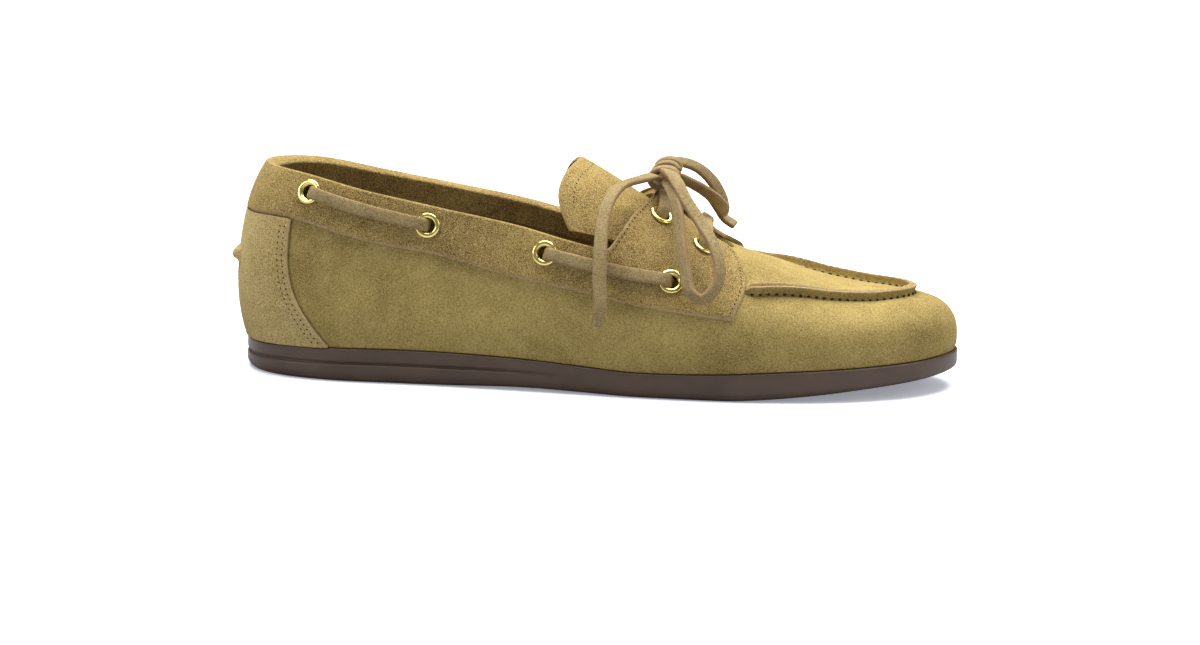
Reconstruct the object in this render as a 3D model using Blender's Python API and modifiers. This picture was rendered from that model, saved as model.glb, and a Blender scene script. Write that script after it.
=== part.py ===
"""Slip-on moccasin, right shoe: hollow suede upper, rubber sole, tongue and laces.

Metres, +Z up, +X to the toe, -Y to the outer (lateral) side.  The origin is the middle of
the heel's resting face.
"""
from collections import namedtuple
import math

import bmesh
import bpy
import numpy as np

# Driving sizes of the last and the sole
LENGTH = 0.2552
BALL_WIDTH = 0.088
INSTEP_RISE = 0.070
COLLAR_RISE = 0.0623
HEEL_SOLE = 0.0112
HEEL_CENTRE = 0.037
POLE_REACH = 0.095

# Thickness of each layer, and the gaps between them
WALL = 0.0018
BAND = 0.0014
LINING = 0.0012
COUNTER = 0.0012
INSOLE = 0.0024
TONGUE = 0.0024
CLEAR = 0.0003

# The edges of the upper
TUCK = 0.0032
SOLE_MARGIN = 0.0010
FOLD = 0.0018
LINING_DEPTH = 0.0085
SLOT_HALF = 0.0088
RIDGE_HEIGHT = 0.0034
RIDGE_HALF = 0.0015
RIDGE_FLARE = 0.0004
APRON_HALF = 0.0365
SOLE_ROUND = 0.0032
GROOVE_DEPTH = 0.0009
GROOVE_HALF = 0.0007

# Small fittings and laces
EYELET_HOLE = 0.0026
EYELET_RIM = 0.0043
EYELET_HEIGHT = 0.0009
EYELET_WALL = 0.0003
LACE = 0.0016
BAR_STEP = 0.0034
SLOT_DIP = 0.0034
CORD_STEP = 0.0069
TAB_HALF = 0.0095
TAB_HEIGHT = 0.0050
TAB_STAND = 0.0017
EDGE_ROUND = 0.0006

# One row for each section of the last: its place along the shoe, the reach to each side as a
# share of BALL_WIDTH, the middle line, the widest point above the sole and the crest as shares
# of INSTEP_RISE, how square the section is, and the tuck under as a share of TUCK
Section = namedtuple("Section", "along lateral medial middle girth crest square tuck")
SECTIONS = (
    Section(0.0000, 0.000, 0.000, 0.000, 0.270, 1.360, 2.00, 1.00),
    Section(0.0275, 0.216, 0.216, 0.000, 0.262, 1.260, 2.00, 1.00),
    Section(0.0670, 0.301, 0.296, 0.000, 0.240, 1.190, 2.00, 1.00),
    Section(0.1260, 0.358, 0.347, 0.000, 0.215, 1.220, 2.00, 0.95),
    Section(0.2630, 0.386, 0.370, 0.000, 0.197, 1.311, 2.00, 0.85),
    Section(0.4200, 0.432, 0.375, 0.000, 0.204, 1.108, 2.00, 0.80),
    Section(0.5580, 0.489, 0.420, 0.000, 0.210, 0.862, 2.00, 0.80),
    Section(0.6760, 0.508, 0.466, 0.004, 0.171, 0.555, 2.15, 0.75),
    Section(0.7540, 0.485, 0.483, 0.010, 0.139, 0.437, 2.40, 0.60),
    Section(0.8330, 0.434, 0.455, 0.018, 0.107, 0.339, 2.70, 0.40),
    Section(0.8920, 0.358, 0.398, 0.026, 0.083, 0.312, 2.90, 0.25),
    Section(0.9430, 0.261, 0.307, 0.032, 0.067, 0.316, 2.90, 0.20),
    Section(0.9790, 0.142, 0.205, 0.034, 0.055, 0.318, 2.90, 0.20),
    Section(1.0000, -0.034, 0.034, 0.034, 0.049, 0.314, 2.90, 0.20),
)

# Top and underside of the sole as shares of HEEL_SOLE, and how deep the side groove runs
SoleRow = namedtuple("SoleRow", "along top bottom groove")
SOLE_ROWS = (
    SoleRow(0.00, 0.98, 0.00, 1.0),
    SoleRow(0.24, 1.08, 0.00, 1.0),
    SoleRow(0.30, 1.07, 0.02, 1.0),
    SoleRow(0.40, 1.00, 0.08, 0.6),
    SoleRow(0.49, 0.87, 0.04, 0.0),
    SoleRow(0.56, 0.78, 0.00, 0.0),
    SoleRow(0.67, 0.84, 0.00, 0.0),
    SoleRow(0.74, 0.93, 0.07, 0.0),
    SoleRow(0.80, 1.00, 0.19, 0.0),
    SoleRow(0.86, 1.06, 0.33, 0.0),
    SoleRow(0.93, 1.13, 0.47, 0.0),
    SoleRow(1.00, 1.21, 0.60, 0.0),
)

# The collar's top line and the facing's rear edge above the sole, as shares of COLLAR_RISE
TopRow = namedtuple("TopRow", "along rise")
TOP_ROWS = (
    TopRow(0.000, 1.000),
    TopRow(0.098, 0.960),
    TopRow(0.183, 0.882),
    TopRow(0.287, 0.805),
    TopRow(0.394, 0.738),
    TopRow(0.460, 0.687),
    TopRow(0.506, 0.664),
    TopRow(0.513, 0.672),
    TopRow(0.522, 0.716),
    TopRow(0.533, 0.783),
    TopRow(0.543, 0.843),
    TopRow(0.558, 0.895),
    TopRow(0.580, 0.945),
)
NOTCH = 0.506
FLAP = 0.580
SLOT_END = 0.682
SLOT_ROUND = 0.030

# The band's lower edge above the sole, as shares of COLLAR_RISE
LowRow = namedtuple("LowRow", "along rise")
LOW_ROWS = (
    LowRow(0.000, 0.727),
    LowRow(0.079, 0.720),
    LowRow(0.185, 0.612),
    LowRow(0.281, 0.555),
    LowRow(0.385, 0.467),
    LowRow(0.495, 0.416),
    LowRow(0.646, 0.329),
    LowRow(0.685, 0.305),
    LowRow(0.702, 0.345),
)
FACING_FRONT = 0.692

# The counter's front edge: share of its height, place along the shoe
EdgeRow = namedtuple("EdgeRow", "level along")
COUNTER_EDGE = (
    EdgeRow(0.00, 0.128),
    EdgeRow(0.25, 0.101),
    EdgeRow(0.45, 0.083),
    EdgeRow(0.62, 0.075),
    EdgeRow(0.80, 0.071),
    EdgeRow(1.00, 0.069),
)

# The apron seam: where it starts and where its round tip lies
APRON_START = 0.703
APRON_TIP = 0.934
APRON_TAPER = 0.85

# The tongue: its rear edge, its front edge and its reach down each side from the crest
TONGUE_REAR = 0.4750
TONGUE_SWEEP = 0.0300
TONGUE_FRONT = 0.7200
TONGUE_HALF_REAR = 0.0440
TONGUE_HALF_FRONT = 0.0270

# Eyelets of each side: place along the shoe, and share of the way up the band
EyeletRow = namedtuple("EyeletRow", "name along level")
EYELETS = (
    EyeletRow("1", 0.088, 0.65),
    EyeletRow("2", 0.267, 0.59),
    EyeletRow("3", 0.429, 0.62),
    EyeletRow("4", 0.600, 0.21),
    EyeletRow("top", 0.581, 0.73),
    EyeletRow("front", 0.641, 0.66),
)

# Stretches of the shoe between two places, and the number of sections in each
Stretch = namedtuple("Stretch", "to steps")
STRETCHES = (
    Stretch(NOTCH, 14),
    Stretch(FLAP, 6),
    Stretch(SLOT_END, 6),
    Stretch(FACING_FRONT, 1),
    Stretch(APRON_START + 0.004, 1),
    Stretch(1.0, 13),
)

BAND_ROWS = 6
SLICE_SAMPLES = 200
EYELET_SIDES = 8
LATERAL = -1
MEDIAL = 1


def read_curve(places, values, at):
    """Smooth curve through the rows, level at each flat or turning row."""
    places = np.asarray(places, float)
    values = np.asarray(values, float)
    step = np.diff(places)
    rise = np.diff(values) / step
    slope = np.empty_like(values)
    slope[1:-1] = (rise[:-1] * step[1:] + rise[1:] * step[:-1]) / (step[:-1] + step[1:])
    slope[1:-1] = np.where(rise[:-1] * rise[1:] > 0, slope[1:-1], 0.0)
    slope[0] = rise[0]
    slope[-1] = rise[-1]
    row = np.clip(np.searchsorted(places, at, side="right") - 1, 0, len(step) - 1)
    t = np.clip((at - places[row]) / step[row], 0.0, 1.0)
    start = (1 + 2 * t) * (1 - t) ** 2 * values[row] + t * (1 - t) ** 2 * step[row] * slope[row]
    end = t * t * (3 - 2 * t) * values[row + 1] + t * t * (t - 1) * step[row] * slope[row + 1]
    return start + end


def column(rows, name, at):
    """One named column of a table, read at a place along the shoe."""
    return read_curve([row.along for row in rows], [getattr(row, name) for row in rows], at)


def turn_of(along):
    """Angle round the outline, 0 at the heel and pi at the toe, of a place along the shoe."""
    return math.acos(max(-1.0, min(1.0, 1 - 2 * along)))


def ring_table(name_left, name_right):
    """Angles and values of two side columns as one closed ring round the outline."""
    turns = [turn_of(row.along) for row in SECTIONS]
    left = [getattr(row, name_left) for row in SECTIONS]
    right = [getattr(row, name_right) for row in SECTIONS]
    angles = [-t for t in reversed(turns)] + turns[1:]
    values = [-v for v in reversed(left)] + right[1:]
    before = [a - 2 * math.pi for a in angles[-4:-1]]
    after = [a + 2 * math.pi for a in angles[1:4]]
    return before + angles + after, values[-4:-1] + values + values[1:4]


RING_TURNS, RING_REACH = ring_table("lateral", "medial")


def outline(turn):
    """Widest outline of the upper in plan; negative angles are the lateral side."""
    x = LENGTH * (0.5 - 0.5 * math.cos(turn)) - HEEL_CENTRE
    y = BALL_WIDTH * float(read_curve(RING_TURNS, RING_REACH, turn))
    return np.array([x, y])


def place(x):
    """Place along the shoe, 0 at the heel and 1 at the toe, of a coordinate x."""
    return np.clip((np.asarray(x) + HEEL_CENTRE) / LENGTH, 0.0, 1.0)


def sole_top(along):
    """Height of the sole's top."""
    return HEEL_SOLE * column(SOLE_ROWS, "top", along)


def crest_point(turn):
    """Where a slice of the last ends on its middle line."""
    middle = LENGTH / 2 - HEEL_CENTRE
    u = (outline(turn)[0] - middle) / POLE_REACH
    x = middle + POLE_REACH * u / (1 + abs(u) ** 3) ** (1 / 3)
    y = BALL_WIDTH * float(column(SECTIONS, "middle", place(x)))
    return np.array([x, y])


def surface(turn, rise):
    """Points of the last: rise -1 at the sole, 0 at the widest line, 1 on the crest."""
    rise = np.asarray(rise, float)
    base = outline(turn)
    crest = crest_point(turn)
    along = 0.5 - 0.5 * math.cos(turn)
    square = float(column(SECTIONS, "square", along))
    tuck = TUCK * float(column(SECTIONS, "tuck", along))
    inward = (crest - base) / max(np.linalg.norm(crest - base), 1e-9)
    up = np.clip(rise, 0.0, 1.0) * math.pi / 2
    share = 1 - np.clip(np.cos(up), 0.0, 1.0) ** (2 / square)
    low = np.clip(-rise, 0.0, 1.0)
    x = base[0] + (crest[0] - base[0]) * share + inward[0] * tuck * low ** 2
    y = base[1] + (crest[1] - base[1]) * share + inward[1] * tuck * low ** 2
    spot = place(x)
    seat = sole_top(along) + CLEAR
    girth = seat + INSTEP_RISE * float(column(SECTIONS, "girth", along))
    top = sole_top(spot) + CLEAR + INSTEP_RISE * column(SECTIONS, "crest", spot)
    z_up = girth + (top - girth) * np.sin(up) ** (2 / square)
    z_low = girth + (seat - girth) * low
    return np.stack([x, y, np.where(rise >= 0, z_up, z_low)], axis=-1)


class Slice:
    """One section of the last, from the sole to the crest, with its outward normals."""

    def __init__(self, turn):
        self.turn = turn
        rise = np.linspace(-1.0, 1.0, SLICE_SAMPLES)
        self.points = surface(turn, rise)
        along_ring = surface(turn + 1e-3, rise) - surface(turn - 1e-3, rise)
        up = np.gradient(self.points, axis=0)
        normal = np.cross(up, along_ring)
        length = np.linalg.norm(normal, axis=1, keepdims=True)
        self.normals = normal / np.maximum(length, 1e-15)
        steps = np.linalg.norm(np.diff(self.points, axis=0), axis=1)
        self.arc = np.concatenate([[0.0], np.cumsum(steps)])
        self.girth = float(np.interp(0.0, rise, self.arc))
        self.middle = crest_point(turn)[1]
        self.full = float(self.arc[-1])

    def at(self, arc, out=0.0):
        """Point at a length up the slice, moved out along the normal."""
        point = np.array([np.interp(arc, self.arc, self.points[:, i]) for i in range(3)])
        normal = np.array([np.interp(arc, self.arc, self.normals[:, i]) for i in range(3)])
        return point + normal / np.linalg.norm(normal) * out

    def normal(self, arc):
        """Outward normal at a length up the slice."""
        normal = np.array([np.interp(arc, self.arc, self.normals[:, i]) for i in range(3)])
        return normal / np.linalg.norm(normal)

    def first(self, test):
        """Length up the slice where a measure first rises above zero."""
        hits = np.nonzero(test > 0)[0]
        if len(hits) == 0:
            return self.full
        i = hits[0]
        if i == 0:
            return 0.0
        share = test[i - 1] / (test[i - 1] - test[i])
        return float(self.arc[i - 1] + share * (self.arc[i] - self.arc[i - 1]))

    def across(self):
        """Distance of each sample from the middle line."""
        return np.abs(self.points[:, 1] - self.middle)

    def top_edge(self, closing):
        """Top line of the collar or edge of the throat slot; closing rounds the slot's end."""
        spot = place(self.points[:, 0])
        rise = COLLAR_RISE * column(TOP_ROWS, "rise", np.minimum(spot, FLAP))
        over = self.points[:, 2] - sole_top(spot) - rise
        half = np.full_like(spot, SLOT_HALF)
        if closing:
            left = np.clip((SLOT_END - spot) / SLOT_ROUND, 0.0, 1.0)
            half = (SLOT_HALF + CLEAR) * np.sqrt(1 - (1 - left) ** 2)
        slot = half - self.across()
        slot = np.where(half <= 0, -1.0, slot)
        behind = spot < FLAP
        return self.first(np.where(behind, np.maximum(over, -1.0), slot))

    def low_edge(self):
        """Lower edge of the collar band."""
        spot = place(self.points[:, 0])
        rise = COLLAR_RISE * column(LOW_ROWS, "rise", np.minimum(spot, LOW_ROWS[-1].along))
        return self.first(self.points[:, 2] - sole_top(spot) - rise)

    def band_rows(self):
        """Lengths up the slice of the band's rows, lower edge to top edge."""
        low = self.low_edge()
        top = self.top_edge(closing=False) - CLEAR
        return [low + (top - low) * k / BAND_ROWS for k in range(BAND_ROWS + 1)]

    def apron_edge(self):
        """Where the slice crosses the apron seam, and whether the seam is there."""
        spot = place(self.points[:, 0])
        t = (spot - APRON_START) / (APRON_TIP - APRON_START)
        t = np.where(t > 0, np.abs(t) ** APRON_TAPER, t)
        half = APRON_HALF * np.sqrt(np.clip(1 - t, 0.0, 2.0))
        arc = self.first(half - self.across())
        there = float(place(self.at(arc)[0])) > APRON_START
        return arc, there


def station_turns():
    """Angles of the sections from heel to toe, close together where the edges turn."""
    turns = [0.0]
    for stretch in STRETCHES:
        start = turns[-1]
        end = turn_of(stretch.to)
        turns += [start + (end - start) * (k + 1) / stretch.steps for k in range(stretch.steps)]
    return turns


TURNS = station_turns()
BAND_STEPS = sum(s.steps for s in STRETCHES[:4])
NOTCH_STEPS = STRETCHES[0].steps
SLICES = {(side, i): Slice(side * t) for side in (LATERAL, MEDIAL) for i, t in enumerate(TURNS)}


def ring_slices(steps):
    """Slices from the lateral side round the heel to the medial side."""
    lateral = [SLICES[LATERAL, i] for i in range(steps, 0, -1)]
    return lateral + [SLICES[MEDIAL, i] for i in range(steps + 1)]


def material(name, colour, roughness, metallic=0.0):
    """A plain Principled material."""
    made = bpy.data.materials.get(name)
    if made is None:
        made = bpy.data.materials.new(name)
        made.use_nodes = True
        shader = made.node_tree.nodes["Principled BSDF"]
        shader.inputs["Base Color"].default_value = (*colour, 1.0)
        shader.inputs["Roughness"].default_value = roughness
        shader.inputs["Metallic"].default_value = metallic
        made.diffuse_color = (*colour, 1.0)
    return made


def new_object(name, vertices, faces, finish, group):
    """Mesh object from points and faces, welded, with all faces pointing out."""
    mesh = bpy.data.meshes.new(name)
    work = bmesh.new()
    made = [work.verts.new(tuple(v)) for v in vertices]
    for face in faces:
        corners = [made[i] for i in face]
        work.faces.new(corners)
    bmesh.ops.remove_doubles(work, verts=work.verts, dist=1e-6)
    bmesh.ops.dissolve_degenerate(work, edges=work.edges, dist=1e-7)
    bmesh.ops.triangulate(work, faces=work.faces, quad_method="SHORT_EDGE")
    bmesh.ops.recalc_face_normals(work, faces=work.faces)
    work.to_mesh(mesh)
    work.free()
    mesh.shade_smooth()
    mesh.set_sharp_from_angle(angle=math.radians(40))
    made_object = bpy.data.objects.new(name, mesh)
    made_object.data.materials.append(finish)
    group.objects.link(made_object)
    return made_object


def loft(name, sections, finish, group):
    """Closed solid through a row of closed sections, each with as many points."""
    count = len(sections[0])
    vertices = [point for section in sections for point in section]
    faces = []
    for k in range(len(sections) - 1):
        for j in range(count):
            a = k * count + j
            b = k * count + (j + 1) % count
            faces.append((a, b, b + count, a + count))
    last = (len(sections) - 1) * count
    faces.append(tuple(reversed(range(count))))
    faces.append(tuple(range(last, last + count)))
    return new_object(name, vertices, faces, finish, group)


def build_upper(finish, group):
    """Hollow upper: outer wall with the raised apron seam, inner wall and the rims between."""
    vertices = []
    faces = []
    index = {}
    for key, cut in SLICES.items():
        edge = cut.top_edge(closing=True)
        closed = edge >= cut.full - 1e-7
        if not closed:
            edge -= FOLD
        seam, raised = cut.apron_edge()
        seam = min(max(seam, cut.girth + 0.35 * (edge - cut.girth)), edge - 0.006)
        height = RIDGE_HEIGHT if raised else 0.0
        foot = RIDGE_HALF + RIDGE_FLARE
        lower = cut.low_edge() if key[1] <= BAND_STEPS else seam - foot
        outer = [(0.0, 0.0), (cut.girth * 0.5, 0.0), (cut.girth, 0.0)]
        outer += [(cut.girth + (lower - cut.girth) * k / 3, 0.0) for k in (1, 2)]
        if key[1] <= BAND_STEPS:
            outer += [(arc, 0.0) for arc in cut.band_rows()[:-1]] + [(edge, 0.0)]
        else:
            outer += [(seam - foot, 0.0), (seam - RIDGE_HALF, height)]
            outer += [(seam + RIDGE_HALF, height), (seam + foot, 0.0)]
            outer += [(seam + foot + (edge - seam - foot) * k / 3, 0.0) for k in (1, 2, 3)]
        inner = [(outer[j][0], -WALL) for j in (0, 2, 4, 5, 8, 9, 10, 11)]
        for wall, rows in (("out", outer), ("in", inner)):
            for j, (arc, out) in enumerate(rows):
                point = cut.at(arc, out)
                if closed and j == len(rows) - 1:
                    point = cut.at(arc) + np.array([0.0, 0.0, out])
                if cut.turn in (0.0, TURNS[-1], -TURNS[-1]):
                    point[1] = cut.at(arc)[1]
                index[key, wall, j] = len(vertices)
                vertices.append(point)
        index[key, "rows"] = (len(outer), len(inner), closed)
    for side in (LATERAL, MEDIAL):
        for i in range(len(TURNS) - 1):
            a, b = (side, i), (side, i + 1)
            outer_rows, inner_rows, closed_a = index[a, "rows"]
            closed_b = index[b, "rows"][2]
            for wall, rows in (("out", outer_rows), ("in", inner_rows)):
                for j in range(rows - 1):
                    faces.append((index[a, wall, j], index[b, wall, j],
                                  index[b, wall, j + 1], index[a, wall, j + 1]))
            faces.append((index[a, "out", 0], index[b, "out", 0],
                          index[b, "in", 0], index[a, "in", 0]))
            if not (closed_a and closed_b):
                faces.append((index[a, "out", outer_rows - 1], index[b, "out", outer_rows - 1],
                              index[b, "in", inner_rows - 1], index[a, "in", inner_rows - 1]))
    return new_object("upper", vertices, faces, finish, group)


def slab(name, rings, finish, group):
    """Solid from closed rings, bottom to top, with caps laid straight across the shoe."""
    steps = len(TURNS) - 1
    keys = [(LATERAL, i) for i in range(steps, 0, -1)] + [(MEDIAL, i) for i in range(steps)]
    vertices = [ring[key] for ring in rings for key in keys]
    count = len(keys)
    place_of = {key: k for k, key in enumerate(keys)}
    place_of[LATERAL, 0] = place_of[MEDIAL, 0]
    place_of[MEDIAL, steps] = place_of[LATERAL, steps]
    faces = []
    for level in range(len(rings) - 1):
        for k in range(count):
            a = level * count + k
            b = level * count + (k + 1) % count
            faces.append((a, b, b + count, a + count))
    for base in (0, (len(rings) - 1) * count):
        for i in range(steps):
            corners = [place_of[LATERAL, i], place_of[LATERAL, i + 1],
                       place_of[MEDIAL, i + 1], place_of[MEDIAL, i]]
            face = [base + c for c in dict.fromkeys(corners)]
            faces.append(tuple(face))
    return new_object(name, vertices, faces, finish, group)


def level_point(cut, out, height):
    """Point beside the foot of a slice, moved out in plan, at a height."""
    point = cut.at(0.0)
    normal = cut.normal(0.0)
    flat = np.array([normal[0], normal[1]]) / math.hypot(normal[0], normal[1])
    if cut.turn in (0.0, TURNS[-1], -TURNS[-1]):
        flat = np.array([math.copysign(1.0, flat[0]), 0.0])
    return np.array([point[0] + flat[0] * out, point[1] + flat[1] * out, height])


def build_outsole(finish, group):
    """Rubber sole: rounded lower edge, a groove round the heel, and a flat seat on top."""
    levels = 8
    rings = [{} for _ in range(levels)]
    for key, cut in SLICES.items():
        along = 0.5 - 0.5 * math.cos(cut.turn)
        top = float(sole_top(along))
        bottom = HEEL_SOLE * float(column(SOLE_ROWS, "bottom", along))
        groove = GROOVE_DEPTH * float(np.clip(column(SOLE_ROWS, "groove", along), 0, 1))
        middle = bottom + 0.56 * (top - bottom)
        rows = (
            (SOLE_MARGIN - SOLE_ROUND, bottom),
            (SOLE_MARGIN - 0.45 * SOLE_ROUND, bottom + 0.06 * (top - bottom)),
            (SOLE_MARGIN - 0.20 * SOLE_ROUND, bottom + 0.22 * (top - bottom)),
            (SOLE_MARGIN, middle - GROOVE_HALF),
            (SOLE_MARGIN - groove, middle),
            (SOLE_MARGIN, middle + GROOVE_HALF),
            (SOLE_MARGIN, top - 0.08 * HEEL_SOLE),
            (SOLE_MARGIN * 0.4, top),
        )
        for ring, (out, height) in zip(rings, rows):
            ring[key] = level_point(cut, out, height)
    return slab("outsole", rings, finish, group)


def build_insole(finish, group):
    """Footbed that fills the inside of the upper at the foot."""
    rings = [{}, {}]
    for key, cut in SLICES.items():
        along = 0.5 - 0.5 * math.cos(cut.turn)
        seat = float(sole_top(along)) + CLEAR
        rings[0][key] = level_point(cut, -WALL - 2 * CLEAR, seat)
        rings[1][key] = level_point(cut, -WALL - 2 * CLEAR, seat + INSOLE)
    return slab("insole", rings, finish, group)


def build_band(finish, group):
    """Overlay round the collar that widens into the two facings."""
    inside = CLEAR
    outside = CLEAR + BAND
    sections = []
    for cut in ring_slices(BAND_STEPS):
        arcs = cut.band_rows()
        inner = [cut.at(arc, inside) for arc in arcs]
        outer = [cut.at(arcs[0] + 0.5 * EDGE_ROUND, outside)]
        outer += [cut.at(arc, outside) for arc in arcs[1:-1]]
        outer += [cut.at(arcs[-1] - EDGE_ROUND, outside)]
        sections.append(inner + outer[::-1])
    return loft("collar_band", sections, finish, group)


def build_lining(finish, group):
    """Suede turned over the top line and down the inside of the collar."""
    deep = -(WALL + CLEAR + LINING)
    sections = []
    for cut in ring_slices(NOTCH_STEPS):
        top = cut.top_edge(closing=False)
        shell = top - FOLD + CLEAR
        crown = top + 0.0007
        rows = (
            (shell, 0.0), (crown - 0.0006, 0.0), (crown, -0.0007),
            (crown, deep + 0.0008), (crown - 0.0008, deep), (top - LINING_DEPTH, deep),
            (top - LINING_DEPTH, -(WALL + CLEAR)), (shell, -(WALL + CLEAR)),
        )
        sections.append([cut.at(arc, out) for arc, out in rows])
    return loft("collar_lining", sections, finish, group)


def build_counter(finish, group):
    """Patch round the back of the heel, below the band."""
    levels = 6
    columns = 18
    foot = 0.0008
    edge_levels = [row.level for row in COUNTER_EDGE]
    edge_places = [row.along for row in COUNTER_EDGE]
    sections = []
    for k in range(-columns // 2, columns // 2 + 1):
        outer = []
        inner = []
        for j in range(levels):
            level = j / (levels - 1)
            edge = turn_of(float(read_curve(edge_levels, edge_places, level)))
            cut = Slice(edge * 2 * k / columns)
            top = cut.low_edge() - CLEAR
            arc = foot + (top - foot) * level
            outer.append(cut.at(arc, CLEAR + COUNTER))
            inner.append(cut.at(arc, CLEAR))
        sections.append(inner + outer[::-1])
    return loft("heel_counter", sections, finish, group)


def build_tab(finish, group):
    """Short raised cross seam at the middle of the counter."""
    base = 2 * CLEAR + COUNTER
    back = SLICES[MEDIAL, 0]
    spread = TAB_HALF / (BALL_WIDTH * 0.64)
    centre = back.low_edge() - 0.0165
    sections = []
    for k in range(-4, 5):
        cut = Slice(spread * k / 4)
        full = 1 - 0.5 * abs(k / 4) ** 3
        half = TAB_HEIGHT / 2 * full
        stand = TAB_STAND * full
        rows = (
            (centre - half, base), (centre - 0.7 * half, base + 0.7 * stand),
            (centre, base + stand), (centre + 0.7 * half, base + 0.7 * stand),
            (centre + half, base),
        )
        sections.append([cut.at(arc, out) for arc, out in rows])
    return loft("heel_tab", sections, finish, group)


def build_tongue(finish, group):
    """Wide arched tongue inside the collar and under the facings."""
    inset = WALL + 3 * CLEAR + LINING
    rows = 8
    columns = 14
    vertices = []
    for i in range(rows + 1):
        t = i / rows
        for k in range(columns + 1):
            v = 2 * k / columns - 1
            rear = TONGUE_REAR - TONGUE_SWEEP * math.sin(min(abs(v) * 1.35, 1.0) * math.pi / 2) ** 2
            rear += 0.5 * TONGUE_SWEEP * max(0.0, (abs(v) - 0.7) / 0.3) ** 2
            along = rear + (TONGUE_FRONT - rear) * t
            side = LATERAL if v < 0 else MEDIAL
            cut = Slice(side * turn_of(along))
            half = TONGUE_HALF_REAR + (TONGUE_HALF_FRONT - TONGUE_HALF_REAR) * t
            vertices.append(cut.at(cut.full - half * abs(v), -inset))
    faces = []
    for i in range(rows):
        for k in range(columns):
            a = i * (columns + 1) + k
            faces.append((a, a + 1, a + columns + 2, a + columns + 1))
    tongue = new_object("tongue", vertices, faces, finish, group)
    upward = sum(p.normal.z for p in tongue.data.polygons) > 0
    if not upward:
        tongue.data.flip_normals()
    wall = tongue.modifiers.new("wall", "SOLIDIFY")
    wall.thickness = TONGUE
    wall.offset = -1
    return tongue


def eyelet_spot(side, row):
    """Point on the last below an eyelet's middle, and the outward normal there."""
    cut = Slice(side * turn_of(row.along))
    low = cut.low_edge()
    arc = low + (cut.top_edge(closing=False) - low) * row.level
    return cut.at(arc), cut.normal(arc)


def stand_on(made, point, normal):
    """Place an object modelled along +Z at a point, with +Z along the normal."""
    up = np.array([0.0, 0.0, 1.0])
    axis = np.cross(up, normal)
    angle = math.acos(max(-1.0, min(1.0, float(up @ normal))))
    made.location = tuple(point)
    made.rotation_mode = "AXIS_ANGLE"
    made.rotation_axis_angle = (angle, *(axis / max(np.linalg.norm(axis), 1e-9)))


def build_eyelets(band, finish, group, cutters):
    """Brass eyelets, and the holes that they sit in."""
    seat = CLEAR + BAND + 2 * CLEAR
    barrel = EYELET_HOLE + 2 * EYELET_WALL
    for side, word in ((LATERAL, "lateral"), (MEDIAL, "medial")):
        for row in EYELETS:
            point, normal = eyelet_spot(side, row)
            profile = (
                (EYELET_HOLE, CLEAR + 0.5 * BAND),
                (EYELET_HOLE + EYELET_WALL, seat + EYELET_HEIGHT), (EYELET_RIM, seat),
                (barrel, seat), (barrel, CLEAR + 0.5 * BAND),
            )
            mesh = bpy.data.meshes.new("eyelet")
            mesh.from_pydata([(r, 0.0, z) for r, z in profile],
                             [(k, (k + 1) % len(profile)) for k in range(len(profile))], [])
            ring = bpy.data.objects.new(f"eyelet_{word}_{row.name}", mesh)
            mesh.materials.append(finish)
            group.objects.link(ring)
            screw = ring.modifiers.new("turn", "SCREW")
            screw.steps = EYELET_SIDES
            screw.render_steps = EYELET_SIDES
            screw.use_merge_vertices = True
            screw.merge_threshold = 0.00001
            stand_on(ring, point, normal)
            bpy.ops.mesh.primitive_cylinder_add(vertices=EYELET_SIDES, radius=barrel + 2 * CLEAR,
                                                depth=3 * EYELET_RIM)
            cutter = bpy.context.active_object
            cutter.name = f"hole_{word}_{row.name}"
            for collection in list(cutter.users_collection):
                collection.objects.unlink(cutter)
            cutters.objects.link(cutter)
            cutter.hide_render = True
            cutter.display_type = "WIRE"
            stand_on(cutter, point, normal)
            cut = band.modifiers.new(cutter.name, "BOOLEAN")
            cut.operation = "DIFFERENCE"
            cut.solver = "EXACT"
            cut.object = cutter


def smooth_route(points, spacing):
    """Points on a smooth curve through the route's own points, evenly spaced."""
    points = np.asarray(points, float)
    steps = np.linalg.norm(np.diff(points, axis=0), axis=1)
    arc = np.concatenate([[0.0], np.cumsum(steps)])
    count = max(3, int(round(arc[-1] / spacing)) + 1)
    at = np.linspace(0.0, arc[-1], count)
    return np.stack([read_curve(arc, points[:, i], at) for i in range(3)], axis=-1)


def tube(name, points, radius, finish, group, spacing):
    """Round lace along a route."""
    curve = bpy.data.curves.new(name, "CURVE")
    curve.dimensions = "3D"
    curve.bevel_depth = radius
    curve.bevel_resolution = 2
    curve.use_fill_caps = True
    route = smooth_route(points, spacing)
    spline = curve.splines.new("POLY")
    spline.points.add(len(route) - 1)
    for spot, point in zip(spline.points, route):
        spot.co = (*point, 1.0)
    made = bpy.data.objects.new(name, curve)
    curve.materials.append(finish)
    group.objects.link(made)
    return made


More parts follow.
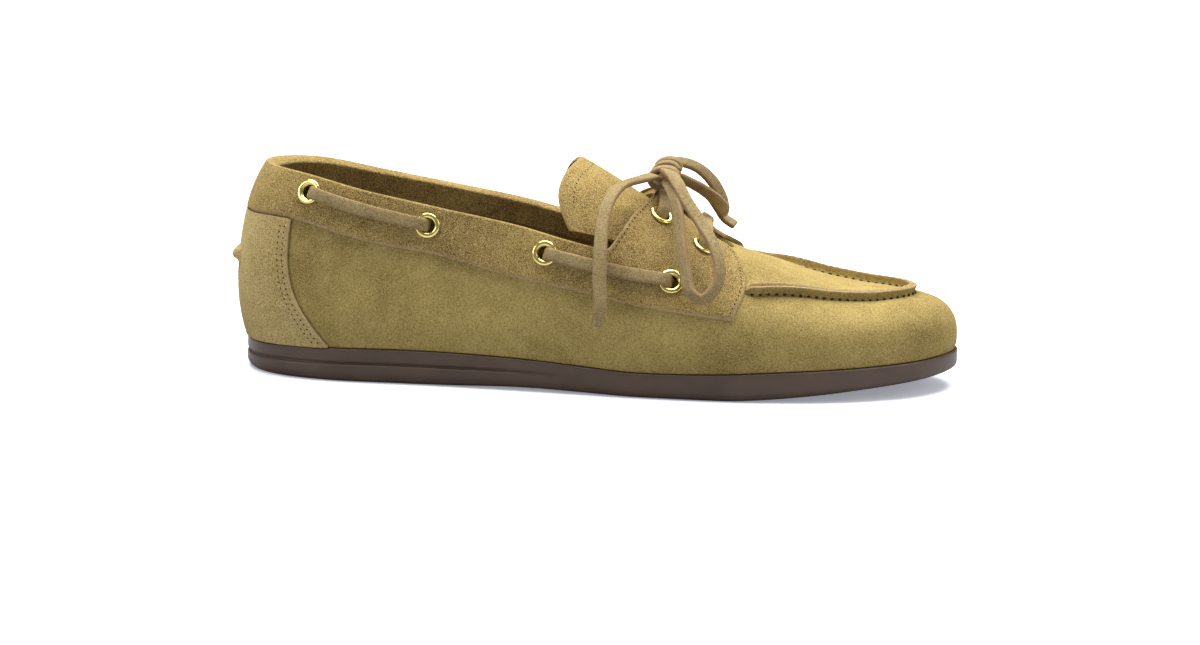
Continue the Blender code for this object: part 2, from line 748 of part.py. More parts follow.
def build_bars(finish, group):
    """Lace strands between the eyelets: out of one hole, over the band and into the next."""
    dip = CLEAR + 0.5 * BAND + CLEAR
    over = CLEAR + BAND + 4 * CLEAR + EYELET_HEIGHT + CLEAR + LACE
    rest = CLEAR + BAND + 2 * CLEAR + LACE
    rows = {row.name: row for row in EYELETS}
    steps = ((0.0, dip), (0.0, 0.55 * over), (0.055, 0.95 * over), (0.14, over),
             (0.28, 0.5 * (over + rest)), (0.5, rest + CLEAR), (0.72, 0.5 * (over + rest)),
             (0.86, over), (0.945, 0.95 * over), (1.0, 0.55 * over), (1.0, dip))
    for side, word in ((LATERAL, "lateral"), (MEDIAL, "medial")):
        for first, second in (("1", "2"), ("3", "4")):
            start, end = rows[first], rows[second]
            low = eyelet_spot(side, start)[0][2]
            high = eyelet_spot(side, end)[0][2]
            route = []
            for share, out in steps:
                cut = Slice(side * turn_of(start.along + (end.along - start.along) * share))
                arc = cut.first(cut.points[:, 2] - (low + (high - low) * share))
                route.append(cut.at(arc, out))
            tube(f"lace_{word}_{first}_{second}", route, LACE, finish, group, BAR_STEP)
    for name in ("top", "front"):
        route = []
        for side in (LATERAL, MEDIAL):
            cut = Slice(side * turn_of(rows[name].along))
            low = cut.low_edge()
            hole = low + (cut.top_edge(closing=False) - low) * rows[name].level
            half = [cut.at(hole, dip), cut.at(hole, 0.55 * over),
                    cut.at(hole + 0.6 * EYELET_HOLE, 0.95 * over),
                    cut.at(hole + EYELET_RIM, over),
                    cut.at(cut.full - SLOT_HALF, 0.5 * (over + rest))]
            if side == LATERAL:
                route = half + [cut.at(cut.full, SLOT_DIP)]
            else:
                route += half[::-1]
        tube(f"lace_throat_{name}", route, LACE, finish, group, BAR_STEP)


# Routes of the free lace, chosen by hand
KNOT = ((0.1122, -0.0100, 0.0724), (0.1127, -0.0035, 0.0733), (0.1130, 0.0035, 0.0728))
END_NEAR = (
    (0.1096, -0.0108, 0.0730), (0.1078, -0.0165, 0.0740), (0.1045, -0.0205, 0.0736),
    (0.0985, -0.0245, 0.0720), (0.0945, -0.0310, 0.0683), (0.0925, -0.0375, 0.0625),
    (0.0918, -0.0435, 0.0539), (0.0918, -0.0475, 0.0432), (0.0925, -0.0500, 0.0345),
    (0.0915, -0.0505, 0.0270),
)
END_FAR = (
    (0.1152, 0.0074, 0.0714), (0.1186, 0.0115, 0.0694), (0.1230, 0.0160, 0.0664),
    (0.1275, 0.0200, 0.0626), (0.1315, 0.0225, 0.0575), (0.1345, 0.0230, 0.0538),
    (0.1378, 0.0225, 0.0518),
)
LOOP_NEAR = (
    (0.1130, -0.0128, 0.0756), (0.1148, -0.0180, 0.0754), (0.1170, -0.0235, 0.0734),
    (0.1205, -0.0300, 0.0683), (0.1260, -0.0365, 0.0613), (0.1310, -0.0430, 0.0540),
    (0.1330, -0.0470, 0.0464), (0.1310, -0.0490, 0.0401), (0.1270, -0.0495, 0.0370),
    (0.1235, -0.0485, 0.0387), (0.1215, -0.0455, 0.0447), (0.1195, -0.0400, 0.0539),
    (0.1181, -0.0336, 0.0629), (0.1162, -0.0263, 0.0691), (0.1144, -0.0184, 0.0720),
    (0.1134, -0.0124, 0.0721),
)
LOOP_FAR = (
    (0.1127, 0.0054, 0.0765), (0.1165, 0.0085, 0.0762), (0.1215, 0.0115, 0.0748),
    (0.1260, 0.0150, 0.0718), (0.1305, 0.0180, 0.0665), (0.1332, 0.0190, 0.0612),
    (0.1342, 0.0165, 0.0578), (0.1328, 0.0115, 0.0602), (0.1298, 0.0065, 0.0640),
    (0.1250, 0.0030, 0.0678), (0.1208, 0.0008, 0.0702), (0.1178, -0.0012, 0.0718),
)
KNOT_RADIUS = 0.0026


def build_bow(finish, group):
    """The knot, two loops and two ends."""
    tube("lace_knot", KNOT, KNOT_RADIUS, finish, group, 0.0040)
    for name, route in (("lace_end_near", END_NEAR), ("lace_end_far", END_FAR),
                        ("lace_loop_near", LOOP_NEAR), ("lace_loop_far", LOOP_FAR)):
        tube(name, route, LACE, finish, group, CORD_STEP)


def main():
    """Build every piece of the shoe."""
    for old in list(bpy.data.objects):
        bpy.data.objects.remove(old)
    group = bpy.data.collections.new("slip_on_shoe")
    cutters = bpy.data.collections.new("cutters")
    bpy.context.scene.collection.children.link(group)
    bpy.context.scene.collection.children.link(cutters)
    suede = material("suede", (0.47, 0.35, 0.16), 0.95)
    band_suede = material("suede_band", (0.40, 0.29, 0.13), 0.95)
    lining = material("lining", (0.20, 0.12, 0.06), 0.8)
    rubber = material("rubber", (0.10, 0.065, 0.05), 0.5)
    lace = material("lace", (0.34, 0.25, 0.14), 0.9)
    brass = material("brass", (0.85, 0.62, 0.20), 0.2, 1.0)
    build_upper(suede, group)
    build_outsole(rubber, group)
    build_insole(lining, group)
    band = build_band(band_suede, group)
    build_lining(band_suede, group)
    build_counter(suede, group)
    build_tab(suede, group)
    build_tongue(band_suede, group)
    build_eyelets(band, brass, group, cutters)
    build_bars(lace, group)
    build_bow(lace, group)


main()
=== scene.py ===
"""Looks of a right slip-on moccasin: suede skin, laced collar, bow and rubber sole.

Metres, +Z up, +X to the toe, -Y to the outer side.  Every piece lies on the same last as the
solids: a table of sections gives its outline and its slices.
"""
import logging
import math
from dataclasses import dataclass, field
from enum import Enum
from typing import Iterable, NamedTuple, Sequence

import bmesh
import bpy
import numpy as np
from mathutils import Matrix, Vector


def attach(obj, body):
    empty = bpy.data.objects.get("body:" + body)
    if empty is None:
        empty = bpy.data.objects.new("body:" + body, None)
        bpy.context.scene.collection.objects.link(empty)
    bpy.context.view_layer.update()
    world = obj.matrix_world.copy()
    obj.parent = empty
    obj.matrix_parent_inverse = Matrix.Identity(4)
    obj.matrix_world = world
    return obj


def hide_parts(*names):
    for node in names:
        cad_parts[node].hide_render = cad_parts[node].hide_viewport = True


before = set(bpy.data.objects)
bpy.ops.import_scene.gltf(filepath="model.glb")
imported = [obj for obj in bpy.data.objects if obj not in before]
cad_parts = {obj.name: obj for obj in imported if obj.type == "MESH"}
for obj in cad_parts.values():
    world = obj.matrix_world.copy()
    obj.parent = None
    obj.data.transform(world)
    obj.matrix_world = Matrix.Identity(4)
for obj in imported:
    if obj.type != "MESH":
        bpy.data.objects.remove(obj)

LOG = logging.getLogger("slip_on_shoe")
MM = 0.001
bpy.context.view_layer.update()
Array = np.ndarray
Thing = bpy.types.Object
Socket = bpy.types.NodeSocket


class Slot(Enum):
    """Material slots of the record."""

    SUEDE = "suede"
    BAND = "band_suede"
    LACE = "lace_suede"
    INSOLE = "insole_leather"
    RUBBER = "rubber"
    BRASS = "brass"


class Side(Enum):
    """Sides of the shoe, with the sign of their angle round the outline."""

    LATERAL = -1
    MEDIAL = 1


class Section(NamedTuple):
    """One section of the last, in shares of the driving sizes."""

    along: float
    lateral: float
    medial: float
    middle: float
    girth: float
    crest: float
    square: float
    tuck: float


SECTIONS = (
    Section(0.0000, 0.000, 0.000, 0.000, 0.270, 1.360, 2.00, 1.00),
    Section(0.0275, 0.216, 0.216, 0.000, 0.262, 1.260, 2.00, 1.00),
    Section(0.0670, 0.301, 0.296, 0.000, 0.240, 1.190, 2.00, 1.00),
    Section(0.1260, 0.358, 0.347, 0.000, 0.215, 1.220, 2.00, 0.95),
    Section(0.2630, 0.386, 0.370, 0.000, 0.197, 1.311, 2.00, 0.85),
    Section(0.4200, 0.432, 0.375, 0.000, 0.204, 1.108, 2.00, 0.80),
    Section(0.5580, 0.489, 0.420, 0.000, 0.210, 0.862, 2.00, 0.80),
    Section(0.6760, 0.508, 0.466, 0.004, 0.171, 0.555, 2.15, 0.75),
    Section(0.7540, 0.485, 0.483, 0.010, 0.139, 0.437, 2.40, 0.60),
    Section(0.8330, 0.434, 0.455, 0.018, 0.107, 0.339, 2.70, 0.40),
    Section(0.8920, 0.358, 0.398, 0.026, 0.083, 0.312, 2.90, 0.25),
    Section(0.9430, 0.261, 0.307, 0.032, 0.067, 0.316, 2.90, 0.20),
    Section(0.9790, 0.142, 0.205, 0.034, 0.055, 0.318, 2.90, 0.20),
    Section(1.0000, -0.034, 0.034, 0.034, 0.049, 0.314, 2.90, 0.20),
)


class SoleRow(NamedTuple):
    """Top and underside of the sole as shares of its rise, and how deep the groove runs."""

    along: float
    top: float
    bottom: float
    groove: float


SOLE_ROWS = (
    SoleRow(0.00, 0.98, 0.00, 1.0),
    SoleRow(0.24, 1.08, 0.00, 1.0),
    SoleRow(0.30, 1.07, 0.02, 1.0),
    SoleRow(0.40, 1.00, 0.08, 0.6),
    SoleRow(0.49, 0.87, 0.04, 0.0),
    SoleRow(0.56, 0.78, 0.00, 0.0),
    SoleRow(0.67, 0.84, 0.00, 0.0),
    SoleRow(0.74, 0.93, 0.07, 0.0),
    SoleRow(0.80, 1.00, 0.19, 0.0),
    SoleRow(0.86, 1.06, 0.33, 0.0),
    SoleRow(0.93, 1.13, 0.47, 0.0),
    SoleRow(1.00, 1.21, 0.60, 0.0),
)


class LineRow(NamedTuple):
    """A line's height above the sole at a place along the shoe, as a share of the collar."""

    along: float
    rise: float


TOP_LINE = (
    LineRow(0.000, 1.000), LineRow(0.098, 0.960), LineRow(0.183, 0.882), LineRow(0.287, 0.805),
    LineRow(0.394, 0.738), LineRow(0.460, 0.687), LineRow(0.506, 0.664), LineRow(0.513, 0.672),
    LineRow(0.522, 0.716), LineRow(0.533, 0.783), LineRow(0.543, 0.843), LineRow(0.558, 0.895),
    LineRow(0.580, 0.945),
)
LOW_LINE = (
    LineRow(0.000, 0.727), LineRow(0.079, 0.720), LineRow(0.185, 0.612), LineRow(0.281, 0.555),
    LineRow(0.385, 0.467), LineRow(0.495, 0.416), LineRow(0.646, 0.329), LineRow(0.685, 0.305),
    LineRow(0.720, 0.290),
)


def read_curve(places: Sequence[float], values: Sequence[float], at: Array) -> Array:
    """Smooth curve through rows, level at each flat or turning row.

    Args:
        places: Rising places of the rows.
        values: Value at each row.
        at: Places to read.

    Returns:
        The values read.
    """
    places = np.asarray(places, float)
    values = np.asarray(values, float)
    step = np.diff(places)
    rise = np.diff(values) / step
    slope = np.empty_like(values)
    slope[1:-1] = (rise[:-1] * step[1:] + rise[1:] * step[:-1]) / (step[:-1] + step[1:])
    slope[1:-1] = np.where(rise[:-1] * rise[1:] > 0, slope[1:-1], 0.0)
    slope[0] = rise[0]
    slope[-1] = rise[-1]
    row = np.clip(np.searchsorted(places, at, side="right") - 1, 0, len(step) - 1)
    t = np.clip((at - places[row]) / step[row], 0.0, 1.0)
    start = (1 + 2 * t) * (1 - t) ** 2 * values[row] + t * (1 - t) ** 2 * step[row] * slope[row]
    end = t * t * (3 - 2 * t) * values[row + 1] + t * t * (t - 1) * step[row] * slope[row + 1]
    return start + end


def column(rows: Sequence[NamedTuple], name: str, at: Array) -> Array:
    """One named column of a table, read at places along the shoe."""
    return read_curve([row.along for row in rows], [getattr(row, name) for row in rows], at)


def ease(value: Array, start: float, end: float) -> Array:
    """Smooth step from 0 at start to 1 at end."""
    t = np.clip((np.asarray(value, float) - start) / (end - start), 0.0, 1.0)
    return t * t * (3 - 2 * t)


def waver(at: Array, period: float, seed: int) -> Array:
    """Smooth wandering value between about -1 and 1 along a length."""
    phases = np.random.default_rng(seed).uniform(0.0, 2 * math.pi, 5)
    speeds = (1.0, 1.73, 2.51, 3.87, 5.23)
    weights = (0.36, 0.27, 0.18, 0.12, 0.07)
    total = np.zeros_like(np.asarray(at, float))
    for phase, speed, weight in zip(phases, speeds, weights):
        total = total + weight * np.sin(2 * math.pi * speed * at / period + phase)
    return total


def lengths_along(points: Array, least: float = 0.0) -> Array:
    """Length along a line at each of its points, from 0 at the first, with steps no shorter than least."""
    steps = np.linalg.norm(np.diff(points, axis=0), axis=1)
    return np.concatenate([[0.0], np.cumsum(np.maximum(steps, least))])


def unit(vectors: Array, least: float = 1e-12) -> Array:
    """Vectors made one long; least guards those without a length."""
    return vectors / np.maximum(np.linalg.norm(vectors, axis=-1, keepdims=True), least)


def smooth_line(points: Array, steps: int) -> Array:
    """Evenly spaced points on a smooth curve through a route's own points."""
    points = np.asarray(points, float)
    arc = lengths_along(points, 1e-9)
    at = np.linspace(0.0, arc[-1], steps)
    return np.stack([read_curve(arc, points[:, i], at) for i in range(3)], axis=-1)


@dataclass
class Last:
    """The form that the shoe is built on, as a table of points and normals.

    A place on it is an angle round the outline, 0 at the heel and pi at the toe and negative
    on the outer side, and a length up the slice from the sole.
    """

    length: float = 255.2 * MM
    ball_width: float = 88.0 * MM
    instep_rise: float = 70.0 * MM
    collar_rise: float = 62.3 * MM
    sole_rise: float = 11.2 * MM
    heel_centre: float = 37.0 * MM
    pole_reach: float = 95.0 * MM
    tuck: float = 3.2 * MM
    clear: float = 0.3 * MM
    slot_half: float = 8.8 * MM
    flap: float = 0.580
    slot_end: float = 0.682
    slot_round: float = 0.030
    apron_half: float = 36.5 * MM
    apron_start: float = 0.703
    apron_tip: float = 0.934
    apron_taper: float = 0.85
    slices: int = 1201
    rises: int = 201
    samples: int = 180
    step: float = 1e-3
    turns: Array = field(init=False)
    points: Array = field(init=False)
    normals: Array = field(init=False)
    full: Array = field(init=False)
    girths: Array = field(init=False)
    low: Array = field(init=False)
    top: Array = field(init=False)
    rim: Array = field(init=False)
    seam: Array = field(init=False)

    def __post_init__(self) -> None:
        """Work out the table and the lengths at which lines cross each slice."""
        self.turns = np.linspace(-math.pi, math.pi, self.slices)
        rise = np.linspace(-1.0, 1.0, self.rises)
        raw = self.surface(self.turns[:, None], rise[None, :])
        ahead = self.surface(self.turns[:, None] + self.step, rise[None, :])
        behind = self.surface(self.turns[:, None] - self.step, rise[None, :])
        normal = unit(np.cross(np.gradient(raw, axis=1), ahead - behind), 1e-15)
        steps = np.linalg.norm(np.diff(raw, axis=1), axis=2)
        arcs = np.concatenate([np.zeros((len(self.turns), 1)), np.cumsum(steps, axis=1)], axis=1)
        self.full = arcs[:, -1].copy()
        self.girths = np.array([np.interp(0.0, rise, row) for row in arcs])
        self.points = np.empty((self.slices, self.samples, 3))
        self.normals = np.empty_like(self.points)
        share = np.linspace(0.0, 1.0, self.samples)
        for i, row in enumerate(arcs):
            at = share * row[-1]
            for axis in range(3):
                self.points[i, :, axis] = np.interp(at, row, raw[i, :, axis])
                self.normals[i, :, axis] = np.interp(at, row, normal[i, :, axis])
        self.low = self._crossing(self._over_line(LOW_LINE))
        self.top = self._crossing(self._over_top(closing=False))
        self.rim = self._crossing(self._over_top(closing=True))
        behind = self.place(self.points[:, -1, 0]) < self.slot_end - self.slot_round / 3
        self.rim = np.where(behind, np.minimum(self.rim, self.full - self.slot_half / 2), self.rim)
        self.seam = self._crossing(self._inside_apron())

    def surface(self, turn: Array, rise: Array) -> Array:
        """Points of the last.

        Args:
            turn: Angles round the outline.
            rise: Places up each slice: -1 at the sole, 0 at the widest line, 1 on the crest.

        Returns:
            Points with the last axis x, y and z.
        """
        turn = np.asarray(turn, float)
        rise = np.asarray(rise, float)
        base_x = self.length * (0.5 - 0.5 * np.cos(turn)) - self.heel_centre
        base_y = self.ball_width * self._reach(turn)
        middle = self.length / 2 - self.heel_centre
        u = (base_x - middle) / self.pole_reach
        crest_x = middle + self.pole_reach * u / (1 + np.abs(u) ** 3) ** (1 / 3)
        crest_y = self.ball_width * column(SECTIONS, "middle", self.place(crest_x))
        along = 0.5 - 0.5 * np.cos(turn)
        square = column(SECTIONS, "square", along)
        tuck = self.tuck * column(SECTIONS, "tuck", along)
        span = np.maximum(np.hypot(crest_x - base_x, crest_y - base_y), 1e-9)
        up = np.clip(rise, 0.0, 1.0) * math.pi / 2
        share = 1 - np.clip(np.cos(up), 0.0, 1.0) ** (2 / square)
        low = np.clip(-rise, 0.0, 1.0)
        x = base_x + (crest_x - base_x) * (share + tuck * low ** 2 / span)
        y = base_y + (crest_y - base_y) * (share + tuck * low ** 2 / span)
        spot = self.place(x)
        seat = self.sole_top(along) + self.clear
        girth = seat + self.instep_rise * column(SECTIONS, "girth", along)
        top = self.sole_top(spot) + self.clear + self.instep_rise * column(SECTIONS, "crest", spot)
        z_up = girth + (top - girth) * np.sin(up) ** (2 / square)
        z_low = girth + (seat - girth) * low
        return np.stack(np.broadcast_arrays(x, y, np.where(rise >= 0, z_up, z_low)), axis=-1)

    def _reach(self, turn: Array) -> Array:
        """Half width at an angle round the outline, as a share of the ball's width."""
        turns = [math.acos(1 - 2 * row.along) for row in SECTIONS]
        left = [row.lateral for row in SECTIONS]
        right = [row.medial for row in SECTIONS]
        angles = [-t for t in reversed(turns)] + turns[1:]
        values = [-v for v in reversed(left)] + right[1:]
        angles = [a - 2 * math.pi for a in angles[-4:-1]] + angles + [a + 2 * math.pi for a in angles[1:4]]
        values = values[-4:-1] + values + values[1:4]
        return read_curve(angles, values, turn)

    def place(self, x: Array) -> Array:
        """Place along the shoe, 0 at the heel and 1 at the toe, of a coordinate x."""
        return np.clip((np.asarray(x) + self.heel_centre) / self.length, 0.0, 1.0)

    def sole_top(self, along: Array) -> Array:
        """Height of the sole's top."""
        return self.sole_rise * column(SOLE_ROWS, "top", along)

    def turn_of(self, along: Array) -> Array:
        """Angle round the outline of a place along the shoe."""
        return np.arccos(np.clip(1 - 2 * np.asarray(along, float), -1.0, 1.0))

    def _over_line(self, rows: Sequence[LineRow]) -> Array:
        """How far each sample lies over a line of the side."""
        spot = self.place(self.points[..., 0])
        rise = self.collar_rise * column(rows, "rise", np.minimum(spot, rows[-1].along))
        return self.points[..., 2] - self.sole_top(spot) - rise

    def _across(self) -> Array:
        """Distance of each sample from the middle line of its slice."""
        return np.abs(self.points[..., 1] - self.points[:, -1:, 1])

    def _over_top(self, closing: bool) -> Array:
        """How far each sample lies over the top line or inside the throat slot."""
        spot = self.place(self.points[..., 0])
        half = np.full_like(spot, self.slot_half)
        if closing:
            left = np.clip((self.slot_end - spot) / self.slot_round, 0.0, 1.0)
            half = (self.slot_half + self.clear) * np.sqrt(1 - (1 - left) ** 2)
        slot = np.where(half <= 0, -1.0, half - self._across())
        return np.where(spot < self.flap, self._over_line(TOP_LINE), slot)

    def _inside_apron(self) -> Array:
        """How far each sample lies inside the apron seam."""
        t = (self.place(self.points[..., 0]) - self.apron_start) / (self.apron_tip - self.apron_start)
        t = np.where(t > 0, np.abs(t) ** self.apron_taper, t)
        return self.apron_half * np.sqrt(np.clip(1 - t, 0.0, 2.0)) - self._across()

    def _crossing(self, test: Array) -> Array:
        """Length up each slice where a measure first rises above zero."""
        over = test > 0
        hit = over.any(axis=1)
        k = np.maximum(over.argmax(axis=1), 1)
        rows = np.arange(len(test))
        before, after = test[rows, k - 1], test[rows, k]
        share = np.clip(before / np.where(before == after, 1.0, before - after), 0.0, 1.0)
        step = self.full / (test.shape[1] - 1)
        return np.where(hit, (k - 1 + share) * step, self.full)

    def read(self, values: Array, turn: Array) -> Array:
        """Value of a per-slice array at angles round the outline."""
        return np.interp(turn, self.turns, values)

    def at(self, turn: Array, arc: Array, out: Array = 0.0) -> Array:
        """Points off the last.

        Args:
            turn: Angles round the outline.
            arc: Lengths up the slices.
            out: Distances out along the normal.

        Returns:
            Points with the last axis x, y and z.
        """
        point, normal = self._sample(turn, arc)
        return point + normal * np.asarray(out, float)[..., None]

    def normal(self, turn: Array, arc: Array) -> Array:
        """Outward normals of the last."""
        return self._sample(turn, arc)[1]

    def _sample(self, turn: Array, arc: Array) -> tuple[Array, Array]:
        """Points and unit normals between the table's own."""
        turn, arc = np.broadcast_arrays(np.asarray(turn, float), np.asarray(arc, float))
        i = np.clip((turn + math.pi) / (2 * math.pi) * (len(self.turns) - 1), 0, len(self.turns) - 1.000001)
        i0 = i.astype(int)
        fi = (i - i0)[..., None]
        full = self.read(self.full, turn)
        j = np.clip(arc / full, 0.0, 1.0) * (self.points.shape[1] - 1)
        j0 = np.minimum(j.astype(int), self.points.shape[1] - 2)
        fj = (j - j0)[..., None]
        found = []
        for table in (self.points, self.normals):
            near = table[i0, j0] * (1 - fj) + table[i0, j0 + 1] * fj
            far = table[i0 + 1, j0] * (1 - fj) + table[i0 + 1, j0 + 1] * fj
            found.append(near * (1 - fi) + far * fi)
        return found[0], unit(found[1])


class MeshMaker:
    """Gathers points and faces and turns them into one clean mesh object."""

    def __init__(self, name: str) -> None:
        """Start an empty mesh."""
        self.name = name
        self.vertices: list[Array] = []
        self.faces: list[tuple[int, ...]] = []
        self.values: list[Array] = []
        self.count = 0

    def add(self, points: Array, raw: float | Array = 0.0) -> Array:
        """Add points.

        Args:
            points: Array with the last axis x, y and z.
            raw: How much of a raw cut edge each point shows, 0 to 1.

        Returns:
            Their indices, in the shape of the points.
        """
        shape = points.shape[:-1]
        number = int(np.prod(shape))
        self.vertices.append(points.reshape(number, 3))
        self.values.append(np.broadcast_to(np.asarray(raw, float), shape).reshape(number))
        index = np.arange(self.count, self.count + number).reshape(shape)
        self.count += number
        return index

    def grid(self, index: Array, wrap: bool = False) -> None:
        """Add quads between neighbours of a grid of indices; wrap closes its second axis."""
        if wrap:
            index = np.concatenate([index, index[:, :1]], axis=1)
        a, b = index[:-1, :-1].ravel(), index[1:, :-1].ravel()
        c, d = index[1:, 1:].ravel(), index[:-1, 1:].ravel()
        self.faces += list(zip(a.tolist(), b.tolist(), c.tolist(), d.tolist()))

    def face(self, corners: Iterable[int]) -> None:
        """Add one face."""
        self.faces.append(tuple(int(c) for c in corners))

    def shell(self, outer: Array, inner: Array) -> None:
        """Add both faces of a sheet and the four rims between them."""
        self.grid(outer)
        self.grid(inner)
        for rim in ((outer[0], inner[0]), (outer[-1], inner[-1]), (outer[:, 0], inner[:, 0]),
                    (outer[:, -1], inner[:, -1])):
            self.grid(np.stack(rim))

    def stack(self, index: Array) -> None:
        """Add the wall of a stack of rings, which start and end at the toe, and close its two ends."""
        self.grid(index)
        half = index.shape[1] // 2
        for ring in (index[0], index[-1]):
            for k in range(half):
                corners = (ring[half - k], ring[half - k - 1], ring[half + k + 1], ring[half + k])
                self.face(dict.fromkeys(int(c) for c in corners))

    def build(self, sharp: float = 50.0, weld: float = 1e-6) -> Thing:
        """Make the object, welded, with its faces pointing out.

        Args:
            sharp: Angle in degrees past which an edge is shaded sharp.
            weld: Distance under which points are merged.

        Returns:
            The new object.
        """
        mesh = bpy.data.meshes.new(self.name)
        mesh.from_pydata(np.concatenate(self.vertices).tolist(), [], self.faces)
        raw = mesh.attributes.new("raw", "FLOAT", "POINT")
        raw.data.foreach_set("value", np.concatenate(self.values).astype(np.float32))
        work = bmesh.new()
        work.from_mesh(mesh)
        bmesh.ops.remove_doubles(work, verts=work.verts, dist=weld)
        bmesh.ops.dissolve_degenerate(work, edges=work.edges, dist=1e-7)
        bmesh.ops.recalc_face_normals(work, faces=work.faces)
        work.to_mesh(mesh)
        work.free()
        mesh.shade_smooth()
        mesh.set_sharp_from_angle(angle=math.radians(sharp))
        made = bpy.data.objects.new(self.name, mesh)
        bpy.context.scene.collection.objects.link(made)
        return made


def deselect_all() -> None:
    """Leave no object selected."""
    for thing in bpy.context.selected_objects:
        thing.select_set(False)


def settle(thing: Thing) -> None:
    """Move an object's place into its mesh."""
    bpy.context.view_layer.update()
    thing.data.transform(thing.matrix_world)
    thing.matrix_world = Matrix.Identity(4)


def dress(thing: Thing, finish: bpy.types.Material, slot: Slot, replaced: Sequence[str] = ()) -> None:
    """Give a piece its finish and its place in the frame.

    Args:
        thing: The piece.
        finish: Its material.
        slot: Not used.
        replaced: CAD nodes that it stands for.
    """
    thing.data.materials.clear()
    thing.data.materials.append(finish)
    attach(thing, "root")
    if replaced:
        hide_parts(*replaced)


class Wiring:
    """Short way to add nodes to a tree and link them."""

    def __init__(self, tree: bpy.types.NodeTree) -> None:
        """Work on one tree."""
        self.tree = tree

    def node(self, kind: str, links: dict | None = None, **settings: object) -> bpy.types.Node:
        """Add a node.

        Args:
            kind: Blender's name of the node type.
            links: Input name or number, to an output socket or a constant.
            settings: Properties of the node.

        Returns:
            The node.
        """
        made = self.tree.nodes.new(kind)
        for name, value in settings.items():
            setattr(made, name, value)
        self.plug(made, links or {})
        return made

    def plug(self, node: bpy.types.Node, links: dict) -> None:
        """Link output sockets to a node's inputs, and set its constants."""
        for key, value in links.items():
            if isinstance(value, Socket):
                self.tree.links.new(value, node.inputs[key])
            else:
                node.inputs[key].default_value = value

    def noise(self, where: Socket, scale: object, detail: float, rough: float = 0.5) -> Socket:
        """Noise between 0 and 1."""
        links = {"Vector": where, "Scale": scale, "Detail": detail, "Roughness": rough}
        return self.node("ShaderNodeTexNoise", links).outputs["Fac"]

    def stretch(self, value: Socket, low: float, high: float, to_low: float = 0.0,
                to_high: float = 1.0) -> Socket:
        """Map a value from one range to another, clamped."""
        links = {"Value": value, "From Min": low, "From Max": high, "To Min": to_low, "To Max": to_high}
        return self.node("ShaderNodeMapRange", links).outputs["Result"]

    def mix(self, factor: object, first: object, second: object, blend: str = "MIX") -> Socket:
        """Mix two colours."""
        made = self.node("ShaderNodeMix", {0: factor, 6: first, 7: second}, data_type="RGBA", blend_type=blend)
        return made.outputs[2]

    def maths(self, operation: str, first: object, second: object) -> Socket:
        """Work out one sum on two values."""
        return self.node("ShaderNodeMath", {0: first, 1: second}, operation=operation).outputs[0]


def colour(red: float, green: float, blue: float) -> tuple[float, float, float, float]:
    """Linear colour from screen values 0 to 255."""
    share = (c / 255 for c in (red, green, blue))
    linear = (c / 12.92 if c < 0.04045 else ((c + 0.055) / 1.055) ** 2.4 for c in share)
    return (*linear, 1.0)


def nap_group() -> bpy.types.NodeTree:
    """Shared effect: the blotched and speckled nap of suede."""
    tree = bpy.data.node_groups.new("suede_nap", "ShaderNodeTree")
    for name in ("Mid", "Dark", "Light", "Raw"):
        tree.interface.new_socket(name, in_out="INPUT", socket_type="NodeSocketColor")
    for name in ("Blotch Scale", "Grain Scale", "Speckle"):
        tree.interface.new_socket(name, in_out="INPUT", socket_type="NodeSocketFloat")
    tree.interface.new_socket("Color", in_out="OUTPUT", socket_type="NodeSocketColor")
    tree.interface.new_socket("Height", in_out="OUTPUT", socket_type="NodeSocketFloat")
    wiring = Wiring(tree)
    given = wiring.node("NodeGroupInput").outputs
    where = wiring.node("ShaderNodeTexCoord").outputs["Object"]
    blotch = wiring.stretch(wiring.noise(where, given["Blotch Scale"], 3.0, 0.55), 0.36, 0.64)
    patch = wiring.stretch(wiring.noise(where, wiring.maths("MULTIPLY", given["Blotch Scale"], 6.0), 2.0), 0.38, 0.66)
    grain = wiring.noise(where, given["Grain Scale"], 2.0, 0.6)
    fine = wiring.noise(where, wiring.maths("MULTIPLY", given["Grain Scale"], 2.3), 1.0)
    tone = wiring.mix(blotch, given["Dark"], given["Mid"])
    tone = wiring.mix(wiring.maths("MULTIPLY", patch, 0.18), tone, given["Light"])
    dark_grain = wiring.maths("MULTIPLY", wiring.stretch(grain, 0.56, 0.36), given["Speckle"])
    light_grain = wiring.maths("MULTIPLY", wiring.stretch(fine, 0.48, 0.66), given["Speckle"])
    speckled = wiring.mix(dark_grain, tone, wiring.mix(0.62, tone, colour(130, 104, 62), "MULTIPLY"))
    speckled = wiring.mix(wiring.maths("MULTIPLY", light_grain, 0.8), speckled, given["Light"])
    raw = wiring.node("ShaderNodeAttribute", attribute_name="raw").outputs["Fac"]
    final = wiring.mix(raw, speckled, wiring.mix(dark_grain, given["Raw"], tone))
    height = wiring.maths("ADD", grain, wiring.maths("MULTIPLY", fine, 0.5))
    wiring.node("NodeGroupOutput", {"Color": final, "Height": height})
    return tree


